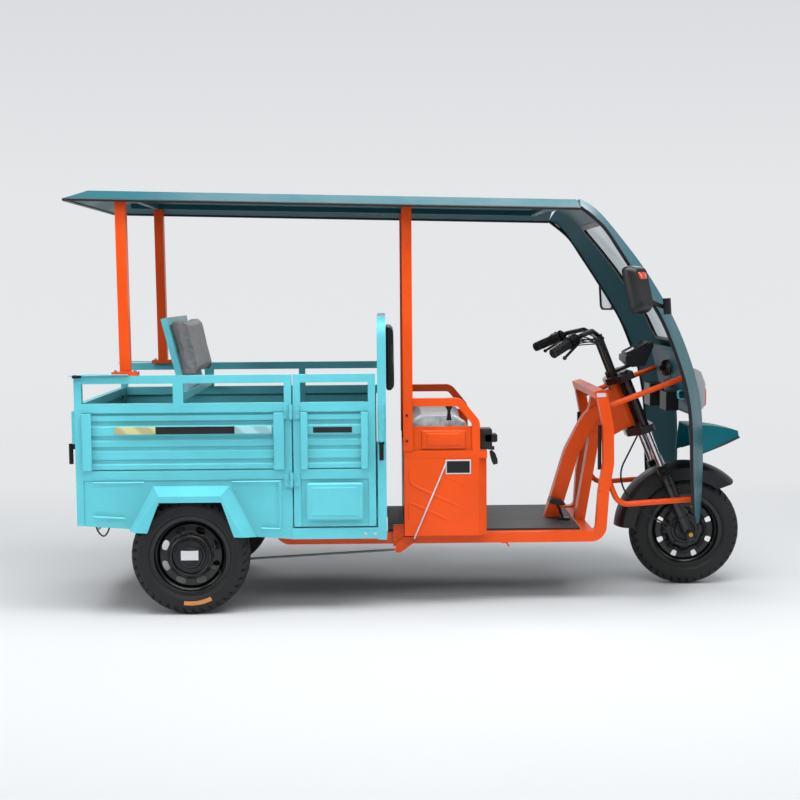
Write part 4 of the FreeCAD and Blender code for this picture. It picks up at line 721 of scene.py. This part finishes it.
dishOf = {
    "front": [(0.139, 0.004), (0.1335, 0.013), (0.128, 0.017), (0.104, 0.017), (0.098, 0.010),
              (0.090, 0.009), (0.084, 0.022), (0.075, 0.026), (0.034, 0.026)],
    "rear": [(0.139, -0.004), (0.1345, 0.008), (0.128, 0.016), (0.098, 0.021), (0.090, 0.015),
             (0.083, 0.024), (0.076, 0.026), (0.034, 0.026)],
}
for name, (centre, body, side) in axles.items():
    kind = "front" if name == "front" else "rear"
    holes = (0.1165, 0.0120, 0.0135, 4.5) if kind == "front" else (0.1120, 0.0215, 0.0135, 2.8)
    disc = holedDisc(centre, side, dishOf[kind], *holes, 0.034, 0.139)
    barrel = piece(name + "_wheel_barrel", wheelBarrel(centre), body, blackEnamel, "wheel_black", 40)
    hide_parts(nodeOf[name][1])
    piece(name + "_wheel_disc", disc, body, blackEnamel, "wheel_black", 40, solid=0.003)
    if kind == "front":
        hub = [(0.0, 0.034), (0.030, 0.034), (0.036, 0.030), (0.043, 0.028), (0.043, 0.020)]
        ring = [(0.046, 0.022), (0.046, 0.031), (0.058, 0.031), (0.062, 0.026), (0.066, 0.022)]
    else:
        hub = [(0.0, 0.052), (0.034, 0.052), (0.037, 0.046), (0.050, 0.045), (0.054, 0.037),
               (0.064, 0.035), (0.067, 0.024)]
        ring = [(0.074, 0.022), (0.075, 0.033), (0.080, 0.036), (0.087, 0.032), (0.089, 0.022)]
    piece(name + "_hub_cover", plainTurning(centre, side, hub), body,
          blackPolypropylene if kind == "rear" else blackEnamel, "wheel_black", 40)
    piece(name + "_hub_ring", plainTurning(centre, side, ring), body, blackEnamel, "wheel_black", 40)
    nuts = []
    for k in range(5 if kind == "front" else 0):
        a = (k + 0.25) * tau / 5
        spot = centre + np.array([math.cos(a) * 0.0695, side * 0.024, math.sin(a) * 0.0695])
        nuts.append(boltShape(spot, 1, 0.015, side * 0.010))
    if nuts:
        piece(name + "_wheel_nuts", together(nuts), body, blackEnamel, "zinc_steel", 25)
    valve = sweep(centre + np.array([[0.118, side * 0.014, -0.062], [0.121, side * 0.03, -0.0635],
                                     [0.1215, side * 0.044, -0.0635]]), circleSection(0.0035, 10),
                  side=(0, 0, 1))
    piece(name + "_valve", valve, body, blackEdging, "tyre_rubber")
print("wheels")


def cushion(node, name, body, finish, shrink, reach, voxel=0.006, rest=None):
    # the pad's solid, drawn in a little, remeshed and blown up as cloth; no point moves further
    # than `reach`, and nothing goes past the plane it rests on
    part = nodes[node]
    mesh = part.data.copy()
    mesh.name = name
    made = bpy.data.objects.new(name, mesh)
    bpy.context.scene.collection.objects.link(made)
    work = bmesh.new()
    work.from_mesh(mesh)
    bmesh.ops.remove_doubles(work, verts=work.verts, dist=1e-5)
    bmesh.ops.recalc_face_normals(work, faces=work.faces)
    work.to_mesh(mesh)
    work.free()
    low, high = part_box(node)
    low, high = np.array(low), np.array(high)
    middle = (low + high) / 2
    points = np.empty(len(mesh.vertices) * 3)
    mesh.vertices.foreach_get("co", points)
    points = (points.reshape(-1, 3) - middle) * (1 - 2 * np.array(shrink) / (high - low)) + middle
    mesh.vertices.foreach_set("co", points.ravel())
    block = made.modifiers.new("block", "REMESH")
    block.mode, block.voxel_size = "VOXEL", voxel
    dg = bpy.context.evaluated_depsgraph_get()
    made.data = bpy.data.meshes.new_from_object(made.evaluated_get(dg))
    made.modifiers.clear()
    count = len(made.data.vertices)
    start = np.empty(count * 3)
    made.data.vertices.foreach_get("co", start)
    start = start.reshape(-1, 3)
    cloth = made.modifiers.new("cloth", "CLOTH")
    cloth.settings.use_pressure = True
    cloth.settings.uniform_pressure_force = 4.0
    cloth.settings.effector_weights.gravity = 0.0
    cloth.settings.tension_stiffness = 12
    cloth.settings.compression_stiffness = 8
    cloth.settings.quality = 4
    cloth.point_cache.frame_start, cloth.point_cache.frame_end = 1, 20
    for step in range(1, 21):
        bpy.context.scene.frame_set(step)
    dg = bpy.context.evaluated_depsgraph_get()
    blown = bpy.data.meshes.new_from_object(made.evaluated_get(dg))
    end = np.empty(count * 3)
    blown.vertices.foreach_get("co", end)
    made.modifiers.clear()
    bpy.data.meshes.remove(blown)
    bpy.context.scene.frame_set(1)
    move = end.reshape(-1, 3) - start
    size = np.linalg.norm(move, axis=1, keepdims=True)
    move *= np.minimum(1.0, reach / np.maximum(size, 1e-9))
    settled = start + move
    settled = np.clip(settled, low, high + 0.012)
    if rest is not None:
        axis, value, sign = rest
        settled[:, axis] = np.where(sign * (settled[:, axis] - value) < 0.0008, value + sign * 0.0008,
                                    settled[:, axis])
    made.data.vertices.foreach_set("co", settled.ravel())
    made.data.shade_smooth()
    finer = made.modifiers.new("finer", "SUBSURF")
    finer.levels = finer.render_levels = 1
    made.data.materials.clear()
    made.data.materials.append(finish)
    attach(made, body)
    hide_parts(node)
    return made


cushion("driver_cushion", "driver_seat_cushion", "chassis", wrappedVinyl,
        (0.016, 0.016, 0.014), 0.022, rest=(2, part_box("driver_cushion")[0].z, 1))
cushion("passenger_cushion", "bench_seat_cushion", "chassis", greyVinyl,
        (0.014, 0.014, 0.012), 0.020, rest=(2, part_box("passenger_cushion")[0].z, 1))
cushion("passenger_back_pad", "bench_back_cushion", "chassis", greyVinyl,
        (0.010, 0.012, 0.012), 0.014)
cushion("driver_back_pad", "driver_back_cushion", "chassis", blackVinyl,
        (0.005, 0.012, 0.012), 0.012, rest=(0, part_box("driver_back_pad")[0].x, 1))
print("cushions", "simulated")


roof = {"tail": -0.484, "nose": 1.606, "half": 0.525, "crown": 0.405, "low": 1.708, "rise": 0.042,
        "pitch": math.radians(1.4)}


def onRoof(x, y, z):
    # a place on the level roof, pitched down towards the nose about its tail edge
    x, y, z = np.broadcast_arrays(np.asarray(x, float), y, z)
    dx, dz = x - roof["tail"], z - roof["low"]
    c, s = math.cos(roof["pitch"]), math.sin(roof["pitch"])
    return place(roof["tail"] + dx * c + dz * s, y, roof["low"] - dx * s + dz * c)


line = np.array([(roof["nose"], -roof["half"]), (roof["tail"], -roof["half"]),
                 (roof["tail"], roof["half"]), (roof["nose"], roof["half"])])
line = roundCorners(line, 0.03, 8)
roofEdge = sweep(onRoof(line[:, 0], line[:, 1] * 0.9985, roof["low"] - 0.003),
                 circleSection(0.0062, 12), side=(0, 0, 1))
piece("roof_edge_rubber", roofEdge, "chassis", blackEdging, "black_plastic")

beads = []
for y in (-0.30, -0.16, 0.0, 0.16, 0.30):
    # long pressed beads that stiffen the roof skin, seen from above and from below
    a = np.linspace(0, math.pi, 9)
    x = np.linspace(roof["tail"] + 0.13, roof["nose"] - 0.03, 40)
    swell = np.clip(np.minimum(x - x[0], x[-1] - x) / 0.05, 0.0, 1) ** 0.5
    cross = np.stack([np.cos(a) * 0.014, np.sin(a) * 0.004], -1)
    grid = onRoof(x[:, None], y + cross[None, :, 0],
                  roof["low"] + roof["rise"] - 0.001 + cross[None, :, 1] * swell[:, None])
    beads.append(gridShape(grid))
piece("roof_top_beads", together(beads), "chassis", tealGelcoat, "shield_teal")

shieldEdge = np.array([(1.606, 0.525, 1.660), (1.700, 0.517, 1.582), (1.767, 0.515, 1.486),
                       (1.833, 0.512, 1.385), (1.905, 0.506, 1.270), (1.965, 0.500, 1.160),
                       (2.032, 0.495, 0.983), (2.060, 0.492, 0.865), (2.073, 0.490, 0.750),
                       (2.077, 0.490, 0.600), (2.082, 0.490, 0.470), (2.086, 0.490, 0.400)])
shieldFront = np.array([(1.622, 0.385, 1.702), (1.735, 0.352, 1.622), (1.815, 0.348, 1.526),
                        (1.895, 0.343, 1.422), (1.974, 0.325, 1.305), (2.040, 0.300, 1.194),
                        (2.120, 0.272, 1.011), (2.156, 0.262, 0.885), (2.172, 0.258, 0.760)])
strips = []
for side in (-1, 1):
    line = shieldEdge * (1, side, 1)
    line = smoothLine(line, 90)
    strips.append(sweep(place(line[:, 0] - 0.002, line[:, 1] - side * 0.003, line[:, 2]),
                        roundSection(0.011, 0.014, 0.004), side=(0, 1, 0)))
piece("shield_edge_rubber", together(strips), "chassis", blackEdging, "black_plastic")

# the screen's gasket follows the window's rounded outline on the shield's flat front
window = {"half": 0.318, "low": 1.100, "high": 1.612, "corner": 0.045}
outline = np.array([(-window["half"] + 0.062, window["low"]), (window["half"] - 0.062, window["low"]),
                    (window["half"] + 0.006, window["high"]), (-window["half"] - 0.006,
                                                              window["high"])])
loop = roundCorners(outline, window["corner"], 9, True)
ends = np.roll(loop, -1, 0)
loop = np.vstack([a + (b - a) * np.linspace(0, 1, 1 + int(np.linalg.norm(b - a) / 0.03),
                                            endpoint=False)[:, None] for a, b in zip(loop, ends)])
frontZ, frontAhead = shieldFront[::-1, 2], shieldFront[::-1, 0]
for name, shift, size in (("screen_gasket_inside", -0.0085, (0.026, 0.006)),
                          ("screen_gasket_outside", 0.0025, (0.016, 0.005))):
    x = np.interp(loop[:, 1], frontZ, frontAhead) + shift
    ring = place(x, loop[:, 0], loop[:, 1])
    lean = np.array([0.85, 0.0, 0.53])
    run = np.roll(ring, -1, 0) - np.roll(ring, 1, 0)
    flat = np.cross(run, lean)
    flat /= np.linalg.norm(flat, axis=1, keepdims=True)
    section = roundSection(size[0], size[1], 0.002, 3)
    grid = ring[:, None] + flat[:, None] * section[None, :, :1] + lean * section[None, :, 1:2]
    piece(name, gridShape(grid, True, True), "chassis",
          blackEdging, "black_plastic", 40)
print("edging and gaskets")


def sides(name, shapes, *rest):
    # one piece as it is on the right, and its mirror image on the left
    piece(name + "_right", shapes, *rest)
    piece(name + "_left", [flipped(shape) for shape in shapes], *rest)


def both(shapes):
    return shapes + [flipped(shape) for shape in shapes]


def stack(rings):
    # loops of places joined into one skin
    return gridShape(np.stack(rings), False, True)


# what most pieces below say after their shapes: body, finish, slot and the angle that stays sharp
turquoiseTrim = ("chassis", turquoisePowder, "bed_turquoise", 50)
doorTrim = ("side_door", turquoisePowder, "bed_turquoise", 50)
orangeTrim = ("chassis", orangePowder, "frame_orange", 50)
plateTrim = ("chassis", labelFilm, "plate_white", 60)
rubberTrim = ("chassis", blackEdging, "black_plastic", 40)

panelY = -bedHalf + 0.003
bead = (panelY, 0.004, 0.005, 0.005)
sides("side_panel_beads", [
    pressing(-0.395, -0.182, 0.546, 0.556, *bead),
    pressing(-0.395, -0.262, 0.400, 0.412, *bead, slope=-0.06),
    pressing(0.176, 0.378, 0.546, 0.556, *bead),
    pressing(0.368, 0.378, 0.350, 0.556, *bead),
    pressing(0.292, 0.378, 0.350, 0.360, *bead, slope=-0.05),
], *turquoiseTrim)
piece("door_panel_pressing", [
    pressing(0.482, 0.716, 0.388, 0.545, panelY + 0.0002, 0.006, 0.008, 0.014),
    pressing(0.500, 0.698, 0.404, 0.529, panelY - 0.0055, 0.0025, 0.006, 0.010),
], *doorTrim)

# narrow inner frames beside the ridged panels, as folded strips
ridge = {"high": 0.837, "low": 0.598, "y": -bedHalf + 0.004}


def uprightStrip(x, width):
    return pressing(x, x + width, ridge["low"] + 0.001, ridge["high"] - 0.001, ridge["y"],
                    0.0035, 0.003, 0.0035)


sides("ridge_border", [uprightStrip(-0.434, 0.040), uprightStrip(0.350, 0.044)], *turquoiseTrim)
piece("ridge_border_door", [uprightStrip(0.460, 0.030), uprightStrip(0.708, 0.030)], *doorTrim)

tape = (-bedHalf + 0.0035, 0.0016, 0.001, 0.002)
sides("reflex_tape", [pressing(-0.300, 0.343, 0.750, 0.781, *tape)], "chassis", tapeFinish,
      "plate_white", 50)
piece("reflex_tape_door", pressing(0.512, 0.672, 0.751, 0.775, *tape), "side_door", tapeFinish,
      "plate_white", 50)
print("bed pressings")

seatLow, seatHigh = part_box("seat_box")
seatY = seatLow.y


def rib(points, width, height):
    # a low half-round ridge on the seat box's right face, along (x, z) points
    line = roundCorners(points, 0.02, 5)
    a = np.linspace(0, math.pi, 7)
    run = np.gradient(line, axis=0)
    run /= np.linalg.norm(run, axis=1, keepdims=True)
    square = np.stack([-run[:, 1], run[:, 0]], -1)
    taper = np.ones(len(line))
    taper[[0, -1]] = 0.05
    x = line[:, :1] + square[:, :1] * np.cos(a) * width / 2
    z = line[:, 1:] + square[:, 1:] * np.cos(a) * width / 2
    return gridShape(place(x, seatY - (np.sin(a) * height * taper[:, None] - 0.0006), z))


# two slanted folds run down and forward across each side of the seat's box
piece("seat_box_folds", both([
    rib([(0.910, 0.600), (0.910, 0.523), (1.000, 0.480), (1.165, 0.403)], 0.013, 0.0035),
    rib([(0.906, 0.360), (0.906, 0.446), (0.990, 0.408), (1.087, 0.361)], 0.013, 0.0035),
    rib([(1.040, 0.566), (1.092, 0.541), (1.168, 0.494)], 0.010, 0.002),
]), "chassis", orangePowder, "frame_orange", 60)

armLow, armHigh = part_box("arm_frame_right")
trayFace = (armLow.y + armHigh.y) / 2 - 0.005
piece("arm_tray_pressing", both([
    pressing(0.956, 1.146, 0.664, 0.748, trayFace, 0.006, 0.007, 0.004),
    pressing(0.978, 1.124, 0.680, 0.736, trayFace - 0.0055, 0.004, 0.006, 0.004),
]), *orangeTrim)
piece("blank_rating_plate", pressing(1.058, 1.166, 0.562, 0.624, seatY, 0.0022, 0.0015, 0.004),
      *plateTrim)
piece("blank_rating_plate_face",
      pressing(1.064, 1.160, 0.568, 0.618, seatY - 0.0022, 0.0008, 0.0008, 0.003),
      "chassis", blackEnamel, "black_plastic", 60)

knob = {"x": 1.077, "y": -0.36, "top": 0.846}
profile = np.array([(0.0, 0.0), (0.014, 0.0), (0.016, 0.004), (0.013, 0.012), (0.008, 0.018),
                    (0.0065, 0.030), (0.009, 0.052), (0.012, 0.062), (0.0, 0.064)])
a = np.arange(24)[:, None] * tau / 24
piece("seat_release_knob",
      gridShape(place(knob["x"] + np.cos(a) * profile[:, 0], knob["y"] + np.sin(a) * profile[:, 0],
                      knob["top"] - profile[:, 1]), True), *rubberTrim)

# key switch, lever and dangling tab at the front of the seat's right side
front = seatHigh.x - ahead
shapes = []
for x0, x1, z0, z1, corner in ((front - 0.030, front + 0.022, 0.664, 0.752, 0.010),
                               (front - 0.01, front + 0.044, 0.694, 0.728, 0.008)):
    section = roundSection(x1 - x0, z1 - z0, corner, 4)
    y = np.array([-0.412, -0.412, -0.409, -0.352, -0.349, -0.349])[:, None]
    size = np.array([0.0, 0.9, 1.0, 1.0, 0.9, 0.0])[:, None]
    shapes.append(gridShape(place((x0 + x1) / 2 + section[:, 0] * size, y,
                                  (z0 + z1) / 2 + section[:, 1] * size), False, True))
shapes.append(sweep(place([front - 0.01, front + 0.012, front + 0.032], -0.395, [0.674, 0.668, 0.668]),
                    circleSection(0.0075, 12), scale=[0.8, 1.0, 1.1]))
shapes.append(sweep(place([front + 0.018, front + 0.026, front + 0.034, front + 0.038], -0.385,
                          [0.656, 0.640, 0.615, 0.598]),
                    roundSection(0.010, 0.024, 0.004, 3), scale=[0.5, 1.0, 1.1, 0.8]))
piece("seat_switch_and_lever", shapes, "chassis", blackPolypropylene, "black_plastic", 40)

hingeHeights = (0.540, 0.572, 0.820, 0.852)
hingeFace = -bedHalf - 0.003
bolts = [  # name, body, finish, slot, axis, width, height, places
    ("sill_bolts", "chassis", paleZinc, "zinc_steel", 1, 0.015, -0.006,
     [(0.725, -bedHalf, 0.331), (0.764, -bedHalf, 0.331)]),
    ("hinge_post_bolts", "chassis", turquoisePowder, "bed_turquoise", 1, 0.011, -0.004,
     [(0.398, hingeFace, z) for z in hingeHeights]),
    ("door_hinge_bolts", "side_door", turquoisePowder, "bed_turquoise", 1, 0.010, -0.004,
     [(0.447, hingeFace, z) for z in hingeHeights]),
    ("pillar_bolts", "chassis", blackEnamel, "black_plastic", 1, 0.011, -0.004,
     [(0.898, seatY - 0.0005, 0.811), (0.898, seatY - 0.0005, 0.704)]),
    ("pillar_foot_bolts", "chassis", zincPlate, "zinc_steel", 2, 0.012, 0.007,
     [(x, y, 1.005) for x in (-0.296, -0.216) for y in (-0.478, 0.478)]),
]
for name, body, finish, slotName, axis, width, height, spots in bolts:
    piece(name, [boltShape(place(*spot), axis, width, height) for spot in spots], body, finish,
          slotName, 25)

# a bent strap runs back over each rear post to hook the tailgate
line = roundCorners([(-0.240, 0.9945), (-0.350, 0.9945), (-0.395, 0.9965), (-0.430, 0.9945),
                     (-0.480, 0.9905)], 0.02, 5)
piece("tail_straps", [sweep(place(line[:, 0], side * (bedHalf - 0.0155), line[:, 1]),
                            roundSection(0.026, 0.004, 0.0015, 3)) for side in (-1, 1)],
      "chassis", turquoisePowder, "bed_turquoise", 40)
# a loop of sheathed wire shows below the bed's tail
loop = smoothLine(place([-0.402, -0.392, -0.366, -0.344, -0.338], -0.452,
                        [0.395, 0.345, 0.320, 0.350, 0.398]), 40)
piece("tail_wire_loop", sweep(loop, circleSection(0.0035, 10)), "chassis", blackEdging,
      "black_plastic", 60)
# bracket and peg beneath the floor
peg = sweep(place([1.300, 1.322, 1.330], -0.335, [0.258, 0.256, 0.240]),
            roundSection(0.020, 0.008, 0.002, 3))
piece("floor_peg", peg, "chassis", orangePowder, "frame_orange", 40)

# black end cap on each rear post
section = roundSection(0.034, 0.034, 0.005, 4)
z = np.array([0.982, 0.9925, 0.9945, 0.995])[:, None]
size = np.array([1.0, 1.0, 0.85, 0.0])[:, None]
piece("rear_post_caps", [
    gridShape(place(-0.449 + section[:, 0] * size, side * (bedHalf - 0.015) + section[:, 1] * size, z),
              False, True) for side in (-1, 1)], *rubberTrim)
print("seat fittings, bolts and caps")

# leg shield: rubber strips inside the uprights, and a blank label
strips = [sweep(place(np.full(6, 1.723), y, np.linspace(0.560, 0.752, 6)),
                roundSection(0.010, 0.016, 0.003)) for y in (-0.302, 0.302)]
piece("leg_shield_rubber", strips, *rubberTrim)
piece("leg_shield_blank_label",
      pressing(1.702, 1.742, 0.874, 0.892, -0.3525, 0.0016, 0.001, 0.002), *plateTrim)

steering = {"top": place(steerTop[0], 0.0, steerTop[1]), "legSpacing": 0.104, "legAhead": 0.0495,
            "down": np.array([math.sin(rake), 0.0, -math.cos(rake)]),
            "ahead": np.array([math.cos(rake), 0.0, math.sin(rake)])}


def onSteering(down, forwardBy, y):
    # a place given along the steering axis, ahead of it and to the left
    return steering["top"] + steering["down"] * down + steering["ahead"] * forwardBy + (0.0, y, 0.0)


def collar(start, line, depths, radius, ease, side):
    # a short drum along a line through four depths, its two rims eased to a share of the radius
    return sweep(start + np.asarray(depths)[:, None] * line, circleSection(1.0, 24), side=side,
                 scale=np.array([ease, 1, 1, ease]) * radius)


bellows, collars, nuts = [], [], []
for side in (-1, 1):
    # rubber bellows between stanchion and slider: the radius ripples along the leg
    legTop = onSteering(0, steering["legAhead"], side * steering["legSpacing"])
    down = np.linspace(0.405, 0.470, 40)
    radius = 0.0245 + 0.0035 * np.sin((down - 0.405) / 0.065 * 6 * tau)
    bellows.append(sweep(legTop + down[:, None] * steering["down"], circleSection(1.0, 24),
                         scale=radius))
    for down, radius in ((0.500, 0.0262), (0.560, 0.0262), (0.655, 0.0270)):
        collars.append(collar(legTop, steering["down"],
                              (down - 0.005, down - 0.004, down + 0.004, down + 0.005), radius,
                              0.96, (0, 1, 0)))
    # axle clamp and the lug that carries the mudguard's stay
    centre = place(frontX, side * steering["legSpacing"], tyreRadius)
    collars.append(plainTurning(centre, side, [(0.0, 0.040), (0.016, 0.040), (0.018, 0.036),
                                               (0.018, -0.030), (0.0, -0.030)], 32, 0.001))
    nuts.append(boltShape(centre + (0, side * 0.040, 0), 1, 0.024, side * 0.012))
piece("fork_bellows", bellows, "steering", blackEdging, "black_plastic", 60)
piece("fork_slider_collars", collars, "steering", blackEnamel, "bar_black", 40)
piece("front_axle_nuts", nuts, "steering", brassNut, "zinc_steel", 25)

# twin risers and a cross bar above the clamp
braces = [sweep(np.array([onSteering(-0.040, 0.012, side * 0.030), place(1.780, side * 0.034, 1.090)]),
                circleSection(0.0055, 12)) for side in (-1, 1)]
braces.append(sweep(place([1.772, 1.768, 1.768, 1.772], [-0.07, -0.03, 0.03, 0.07], 1.112),
                    circleSection(0.008, 12), side=(1, 0, 0)))
piece("bar_braces", braces, "steering", blackEnamel, "bar_black", 40)

# instrument face: a dark window in a raised bezel, tilted back to the rider
faceA, faceB = np.array([1.872, 1.034]), np.array([1.990, 1.096])
along = (faceB - faceA) / np.linalg.norm(faceB - faceA)
normal = np.array([-along[1], along[0]])
loop = roundSection(0.112, 0.150, 0.02, 6)


def faceLoop(scale, lift):
    spot = faceA + along * (0.066 + loop[:, :1] * scale) + normal * lift
    return place(spot[:, 0], loop[:, 1] * scale, spot[:, 1])


piece("instrument_bezel", stack([faceLoop(scale, lift) for scale, lift in (
    (1.0, 0.0), (1.0, 0.006), (0.97, 0.009), (0.90, 0.009), (0.88, 0.004))]), "steering",
      blackPolypropylene, "black_plastic", 35)
dialFinish = mouldedLens("smoked_dial_window", "2A2E33", 0.1, 40, 0.0)
piece("instrument_window", stack([faceLoop(scale, 0.0045) for scale in (0.885, 0.5, 0.0)]),
      "steering", dialFinish, "black_plastic", 35, keep=True)

# ribbed grips over the bar's ends, and flanged collars and screws at their inner ends
sleeves, details = [], []
for side in (-1, 1):
    inner, outer = place(1.598, side * 0.252, 1.098), place(1.524, side * 0.322, 1.060)
    t = np.linspace(0.07, 1.06, 90)
    radius = 0.0205 + 0.0011 * np.sign(np.sin(t * 26 * tau)) * (np.abs(t - 0.55) < 0.42)
    radius[(t > 0.07) & (t < 0.12)] = 0.0245
    radius[-3:] = (0.0215, 0.019, 0.014)
    sleeves.append(sweep(inner + (outer - inner) * t[:, None], circleSection(1.0, 20), side=(0, 0, 1),
                         scale=radius))
    line = (outer - inner) / np.linalg.norm(outer - inner)
    for shift, radius, wide in ((-0.046, 0.0275, 0.006), (-0.004, 0.0275, 0.006), (-0.060, 0.017, 0.018)):
        details.append(collar(inner, line, shift + np.array([0, 0.001, 0.999, 1.0]) * wide, radius,
                              0.93, (0, 0, 1)))
    for dz, dx in ((0.020, -0.010), (0.024, 0.006)):
        details.append(boltShape(inner - line * 0.022 + (dx, 0, dz), 2, 0.012, 0.007))
piece("grip_sleeves", sleeves, "steering", blackEdging, "black_plastic", 30)
piece("switch_details", details, "steering", blackPolypropylene, "black_plastic", 30)


def freeCable(name, points, diameter, body, finish, node=None):
    # a cable fixed at both ends: a smooth spline whose control points are given
    curve = bpy.data.curves.new(name, "CURVE")
    curve.dimensions = "3D"
    spline = curve.splines.new("NURBS")
    spline.points.add(len(points) - 1)
    for spot, control in zip(points, spline.points):
        control.co = (*spot, 1.0)
    spline.order_u = 3
    spline.use_endpoint_u = True
    curve.resolution_u = 10
    made = bpy.data.objects.new(name, curve)
    bpy.context.scene.collection.objects.link(made)
    line = bpy.data.meshes.new_from_object(made)
    bpy.data.meshes.remove(line)
    curve.bevel_depth, curve.bevel_resolution = diameter / 2, 3
    curve.materials.append(finish)
    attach(made, body)
    if node:
        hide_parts(node)


route = [(1.935, -0.070, 0.690), (1.888, -0.100, 0.610), (1.838, -0.122, 0.520),
         (1.866, -0.132, 0.420), (1.960, -0.134, 0.330), (2.090, -0.090, 0.268)]
freeCable("front_brake_hose", [place(*spot) for spot in route], 0.008, "steering", blackEdging,
          "front_brake_cable")
for side, word in ((-1, "right"), (1, "left")):
    for k, diameter in enumerate((0.007, 0.006, 0.005)):
        start = place(1.622 + 0.01 * k, side * (0.232 - 0.01 * k), 1.100 - 0.006 * k)
        route = [start, start + np.array([0.06, -side * 0.03, 0.016 - 0.006 * k]),
                 place(1.758 + 0.012 * k, side * (0.085 - 0.012 * k), 1.105 - 0.01 * k),
                 place(1.798, side * (0.062 - 0.01 * k), 1.020 - 0.004 * k),
                 place(1.836, side * (0.070 - 0.01 * k), 0.950)]
        freeCable("control_cable_%s_%d" % (word, k + 1), route, diameter, "steering", blackEdging)
print("bars, fork and cables")


def lampFace(z0, z1, half, lift, corner):
    # a rounded lens set on the pod's front, its depth following the pod's own profile
    section = roundSection(2 * half, z1 - z0, corner, 5)
    podZ = (0.790, 0.812, 0.900, 0.962, 0.976)
    podX = (2.212, 2.228, 2.229, 2.206, 2.180)
    rings = []
    for scale, rise in ((1.0, -0.004), (1.0, lift * 0.6), (0.96, lift), (0.5, lift + 0.0015),
                        (0.0, lift + 0.002)):
        z = (z0 + z1) / 2 + section[:, 1] * scale
        rings.append(place(np.interp(z, podZ, podX) + rise, section[:, 0] * scale, z))
    return stack(rings)


piece("headlamp_lens", lampFace(0.900, 0.962, 0.066, 0.006, 0.014), "chassis", greyLens,
      "lamp_lens", 40)
piece("marker_lens", lampFace(0.802, 0.886, 0.060, 0.009, 0.016), "chassis", amberLens,
      "tail_red", 40)

profile = [(0.0, -0.018), (0.012, -0.018), (0.013, -0.004), (0.030, 0.0), (0.036, 0.004),
           (0.036, 0.014), (0.030, 0.018), (0.012, 0.014), (0.0, 0.016)]
points, quads = revolve(profile, (0, 0, 0), 40)
spin = np.array(Matrix.Rotation(math.radians(-62), 3, "Z"))
piece("horn", (points @ spin.T + place(2.050, -0.055, 0.978), quads), "chassis", blackEnamel,
      "black_plastic", 40)
piece("horn_bracket", sweep(place([2.055, 2.075, 2.088], [-0.05, -0.045, -0.04], [0.978, 0.955, 0.925]),
                            roundSection(0.016, 0.004, 0.001, 2)),
      "chassis", blackEnamel, "black_plastic", 40)
clip = roundCorners([(2.112, 0.888), (2.078, 0.888), (2.078, 0.852), (2.112, 0.852)], 0.012, 6)
piece("wiring_clip", sweep(place(clip[:, 0], -0.205, clip[:, 1]), roundSection(0.020, 0.006, 0.002, 3)),
      "chassis", turquoisePowder, "bed_turquoise", 40)


def mirrorSkin(width, height, corner, rise, rings):
    # a rounded loop drawn in and out of the mirror's own plane; rings are (share, depth)
    loop = roundSection(width, height, corner, 7)
    return np.stack([np.stack([np.full(len(loop), depth), loop[:, 0] * k, rise + loop[:, 1] * k], -1)
                     for k, depth in rings])


glass, reflectors = [], []
for side, yaw, lean, x in ((1, 24, 4, 1.890), (-1, -48, 15, 1.812)):
    turn = np.array(Matrix.Rotation(math.radians(yaw), 3, "Z")
                    @ Matrix.Rotation(math.radians(-lean), 3, "Y"))
    base = place(x, side * 0.578, 1.322)
    skin = mirrorSkin(0.096, 0.178, 0.024, 0.0, ((1.0, 0.0075), (0.985, 0.0045), (0.5, 0.0035),
                                                 (0.0, 0.003)))
    glass.append(gridShape(skin @ turn.T + base, False, True))
    skin = mirrorSkin(0.050, 0.030, 0.011, 0.046, ((1.0, 0.050), (1.0, 0.0585), (0.9, 0.0605),
                                                   (0.0, 0.0612)))
    reflectors.append(gridShape(skin @ turn.T + base, False, True))
piece("mirror_glasses", glass, "chassis", mirrorGlass, "black_plastic", 40)
piece("mirror_reflectors", reflectors, "chassis", amberLens, "tail_red", 40)

# the beak's lower rim is finished with a rubber lip
rim = [sweep(smoothLine(place([2.176, 2.300, 2.391], side * np.array([0.157, 0.116, 0.038]),
                              [0.600, 0.640, 0.664]), 24),
             circleSection(0.005, 10), side=(0, 0, 1)) for side in (-1, 1)]
piece("beak_edge_rubber", rim, *rubberTrim)

# plain labels: a curved strip on the tyre's side and a plate on the hub
arc = np.radians(np.linspace(-98, -64, 30))[:, None]
radius = np.linspace(0.187, 0.204, 3)
sideY = np.broadcast_to((-0.0490, -0.0494, -0.0494), (30, 3))
grid = np.stack([np.cos(arc) * radius, sideY, np.sin(arc) * radius], -1) + axles["rear_right"][0]
tyreLabel = coatedSteel("plain_orange_tyre_label", "E39A55", 0.5, 0.1, 20, 0.0001, 0.0003, 0.25)
piece("tyre_side_label", gridShape(grid), "rear_wheel_right", tyreLabel, "plate_white", 60)
hubLabel = pressing(-0.036, 0.036, 0.230, 0.270, -trackHalf - 0.0519, 0.0010, 0.0008, 0.003)
piece("hub_blank_label", hubLabel, "rear_wheel_right", labelFilm, "plate_white", 60)
print("lamps, mirrors and labels")
